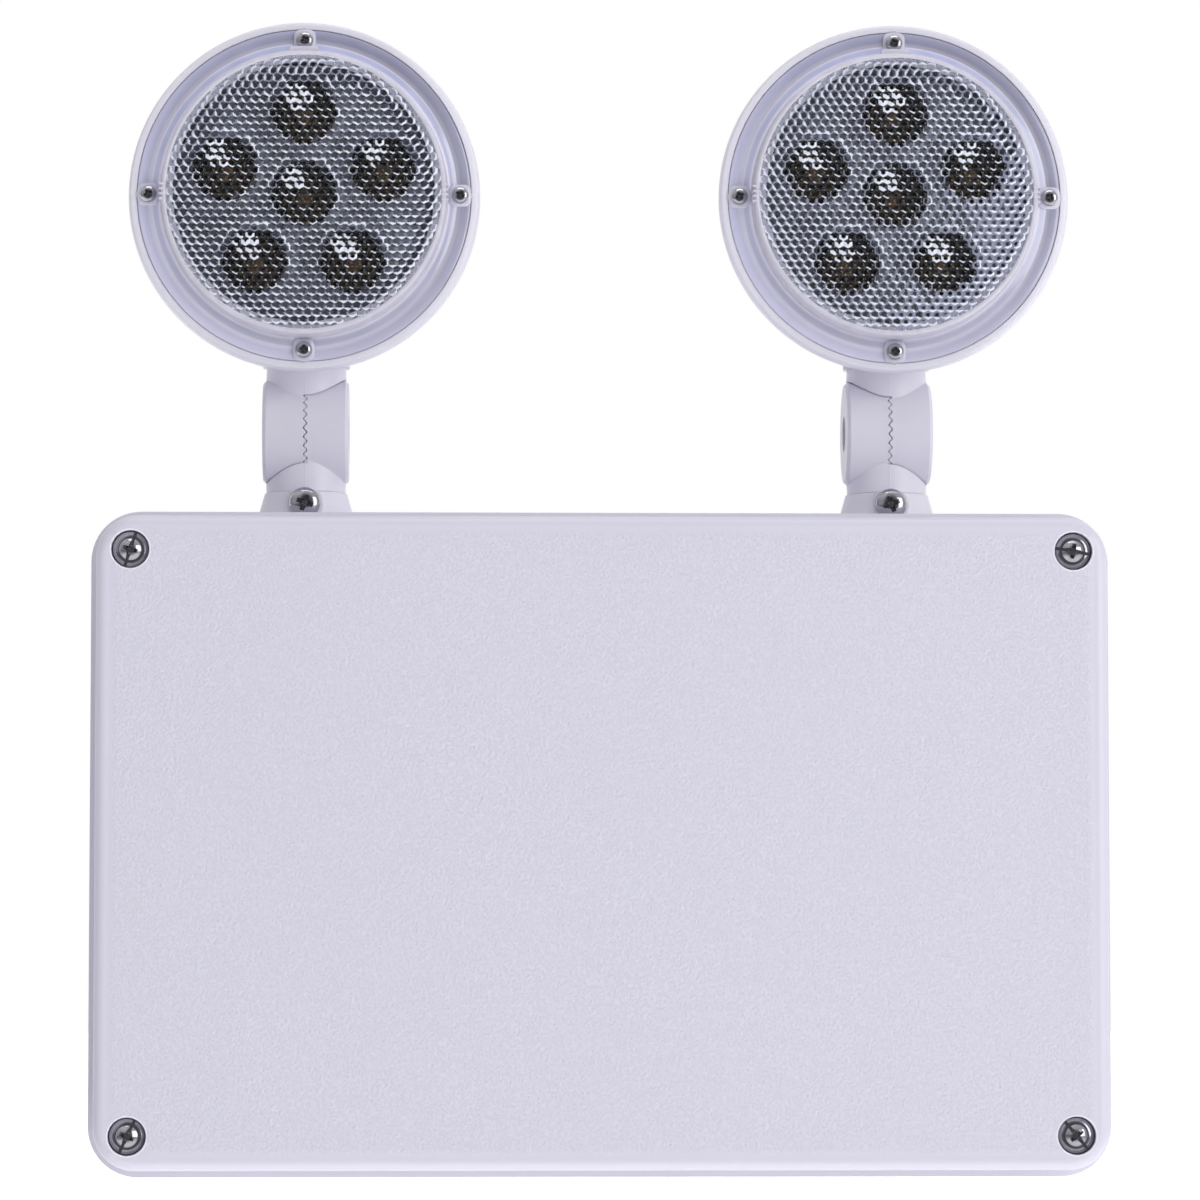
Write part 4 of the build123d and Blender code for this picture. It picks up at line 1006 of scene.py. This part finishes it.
def tooth_ring(centre, outward, turn):
    """Wavy rim of one half of a knuckle, about the X axis; outward is its side of the slit.

    Each row has a radius, a depth from the slit, and whether it follows the wave.
    """
    rows = (
        (TOOTH_FOOT_R, 0.0, True),
        (TOOTH_R - 0.15, 0.0, True),
        (TOOTH_R, 0.12, True),
        (TOOTH_R, 1.15, False),
        (TOOTH_R - 0.06, 2.0, False),
    )
    steps = 8 * TOOTH_COUNT
    points, faces = [], []
    for radius, depth, wavy in rows:
        for i in range(steps):
            a = math.tau * i / steps
            wave = TOOTH_WAVE * math.cos(TOOTH_COUNT * a + turn) * radius / TOOTH_R
            x = depth + (TOOTH_SLIT / 2 - wave if wavy else 0.0)
            points.append(centre + Vector((outward * x, radius * math.cos(a), radius * math.sin(a))))
    for row in range(len(rows) - 1):
        base = row * steps
        for i in range(steps):
            j = (i + 1) % steps
            faces.append([base + i, base + j, base + steps + j, base + steps + i])
    return points, faces


def teeth():
    for side, s in SIDES:
        centre = Vector((s * ARM_X, PIVOT.y, PIVOT.z))
        for part, outward, turn in (("arm", -s, 0.0), ("head", s, math.pi)):
            name = f"{side}_{part}_teeth"
            mesh = Form().add(tooth_ring(centre, outward, turn)).mesh(name)
            place(mesh, name, f"{side}_{part}", ["arm"], "arm_plastic", angle=TOOTH_SMOOTH)


# Light, floor and background, in metres and watts

# Each lamp's name, place, width and height, power, colour, and whether shiny pieces mirror it
LAMPS = (
    ("key", (1.35, -1.5, 0.4), (1.0, 1.2), 9.6, (1.0, 0.995, 0.985), True),
    ("fill", (-1.3, -1.4, 0.9), (2.2, 1.8), 3.2, (0.99, 0.99, 1.0), True),
    ("top", (0.1, -0.5, 1.7), (1.4, 1.0), 8.0, (1.0, 1.0, 1.0), True),
    ("front", (0.8, -1.75, 0.2), (1.4, 1.4), 4.6, (1.0, 1.0, 1.0), False),
    ("low", (0.3, -0.55, -1.05), (1.6, 0.5), 7.6, (1.0, 1.0, 1.0), False),
)
LAMP_TARGET = Vector((0, -0.06, 0.07))

FLOOR_SIDE = 8.0  # half width of the paper
FLOOR_NEAR = -0.16  # its edge towards the camera
FLOOR_FAR = 14.0  # its far edge
FLOOR_GLOW = 0.75  # glow that the camera sees, so that the paper is white round the shadow

# Colours of the room round the object
ROOM_FRONT = (0.12, 0.12, 0.125, 1.0)
ROOM_LEFT = (0.25, 0.25, 0.27, 1.0)
ROOM_RIGHT = (0.56, 0.56, 0.57, 1.0)
ROOM_LOW = (1.15, 1.15, 1.16, 1.0)
ROOM_TOP = (0.70, 0.70, 0.71, 1.0)


def lamps():
    for name, location, size, power, colour, mirrored in LAMPS:
        data = bpy.data.lights.new(name, "AREA")
        data.shape = "RECTANGLE"
        data.size, data.size_y = size
        data.energy = power
        data.color = colour
        obj = bpy.data.objects.new(name, data)
        obj.location = location
        obj.rotation_euler = (LAMP_TARGET - Vector(location)).to_track_quat("-Z", "Y").to_euler()
        obj.visible_glossy = mirrored
        bpy.context.scene.collection.objects.link(obj)


def viewing_rays(tree):
    """Rays straight from the camera, and rays that a shiny or clear piece passes on."""
    path = node(tree, "ShaderNodeLightPath")
    passed = maths(tree, "MAXIMUM", path.outputs["Is Glossy Ray"], path.outputs["Is Transmission Ray"])
    return path.outputs["Is Camera Ray"], passed


def paper_floor():
    """White paper below and behind the light; it keeps the shadow."""
    mesh = bpy.data.meshes.new("floor")
    x, z = FLOOR_SIDE, FLOOR_Z * MM
    corners = [(-x, FLOOR_NEAR, z), (x, FLOOR_NEAR, z), (x, FLOOR_FAR, z), (-x, FLOOR_FAR, z)]
    mesh.from_pydata(corners, [], [[0, 1, 2, 3]])
    floor = bpy.data.objects.new("floor", mesh)
    bpy.context.scene.collection.objects.link(floor)
    mat, tree, shader = graph("floor_paper")
    paper = mixed(tree, noise(tree, spot(tree), 40.0), srgb(246, 246, 248), srgb(250, 250, 251))
    tree.links.new(paper, shader.inputs["Base Color"])
    shader.inputs["Roughness"].default_value = 0.9
    shader.inputs["Emission Color"].default_value = (1, 1, 1, 1)
    seen = maths(tree, "MAXIMUM", *viewing_rays(tree))
    tree.links.new(maths(tree, "MULTIPLY", seen, FLOOR_GLOW), shader.inputs["Emission Strength"])
    mesh.materials.append(mat)


def room():
    """Grey room that lights the object and shows in shiny pieces, seen as white behind the object."""
    world = bpy.data.worlds.new("studio")
    bpy.context.scene.world = world
    world.use_nodes = True
    tree = world.node_tree
    tree.nodes.clear()
    out = tree.nodes.new("ShaderNodeOutputWorld")
    direction = node(tree, "ShaderNodeTexCoord").outputs["Generated"]
    right, ahead, up = node(tree, "ShaderNodeSeparateXYZ", {0: direction}).outputs
    sides = mixed(tree, ranged(tree, right, 0.0, 1.0, -0.7, 0.7), ROOM_LEFT, ROOM_RIGHT)
    tent = mixed(tree, ranged(tree, up, 0.0, 1.0, 0.3, 0.9, True), sides, ROOM_TOP)
    tent = mixed(tree, ranged(tree, up, 1.0, 0.0, -0.5, -0.1, True), tent, ROOM_LOW)
    grey = mixed(tree, ranged(tree, ahead, 0.0, 1.0, -0.97, -0.72, True), ROOM_FRONT, tent)
    direct, passed = viewing_rays(tree)
    behind = maths(tree, "MULTIPLY", passed, maths(tree, "GREATER_THAN", ahead, 0.0))
    seen = maths(tree, "MAXIMUM", direct, behind)
    around = node(tree, "ShaderNodeBackground", {0: grey, 1: 1.0}).outputs[0]
    white = node(tree, "ShaderNodeBackground", {0: (1, 1, 1, 1), 1: 1.0}).outputs[0]
    choose = node(tree, "ShaderNodeMixShader", {0: seen, 1: around, 2: white})
    tree.links.new(choose.outputs[0], out.inputs[0])


camera()
dress_nodes()
screws()
lens()
reflector()
teeth()
lamps()
paper_floor()
room()
bpy.context.scene.view_settings.view_transform = "Standard"
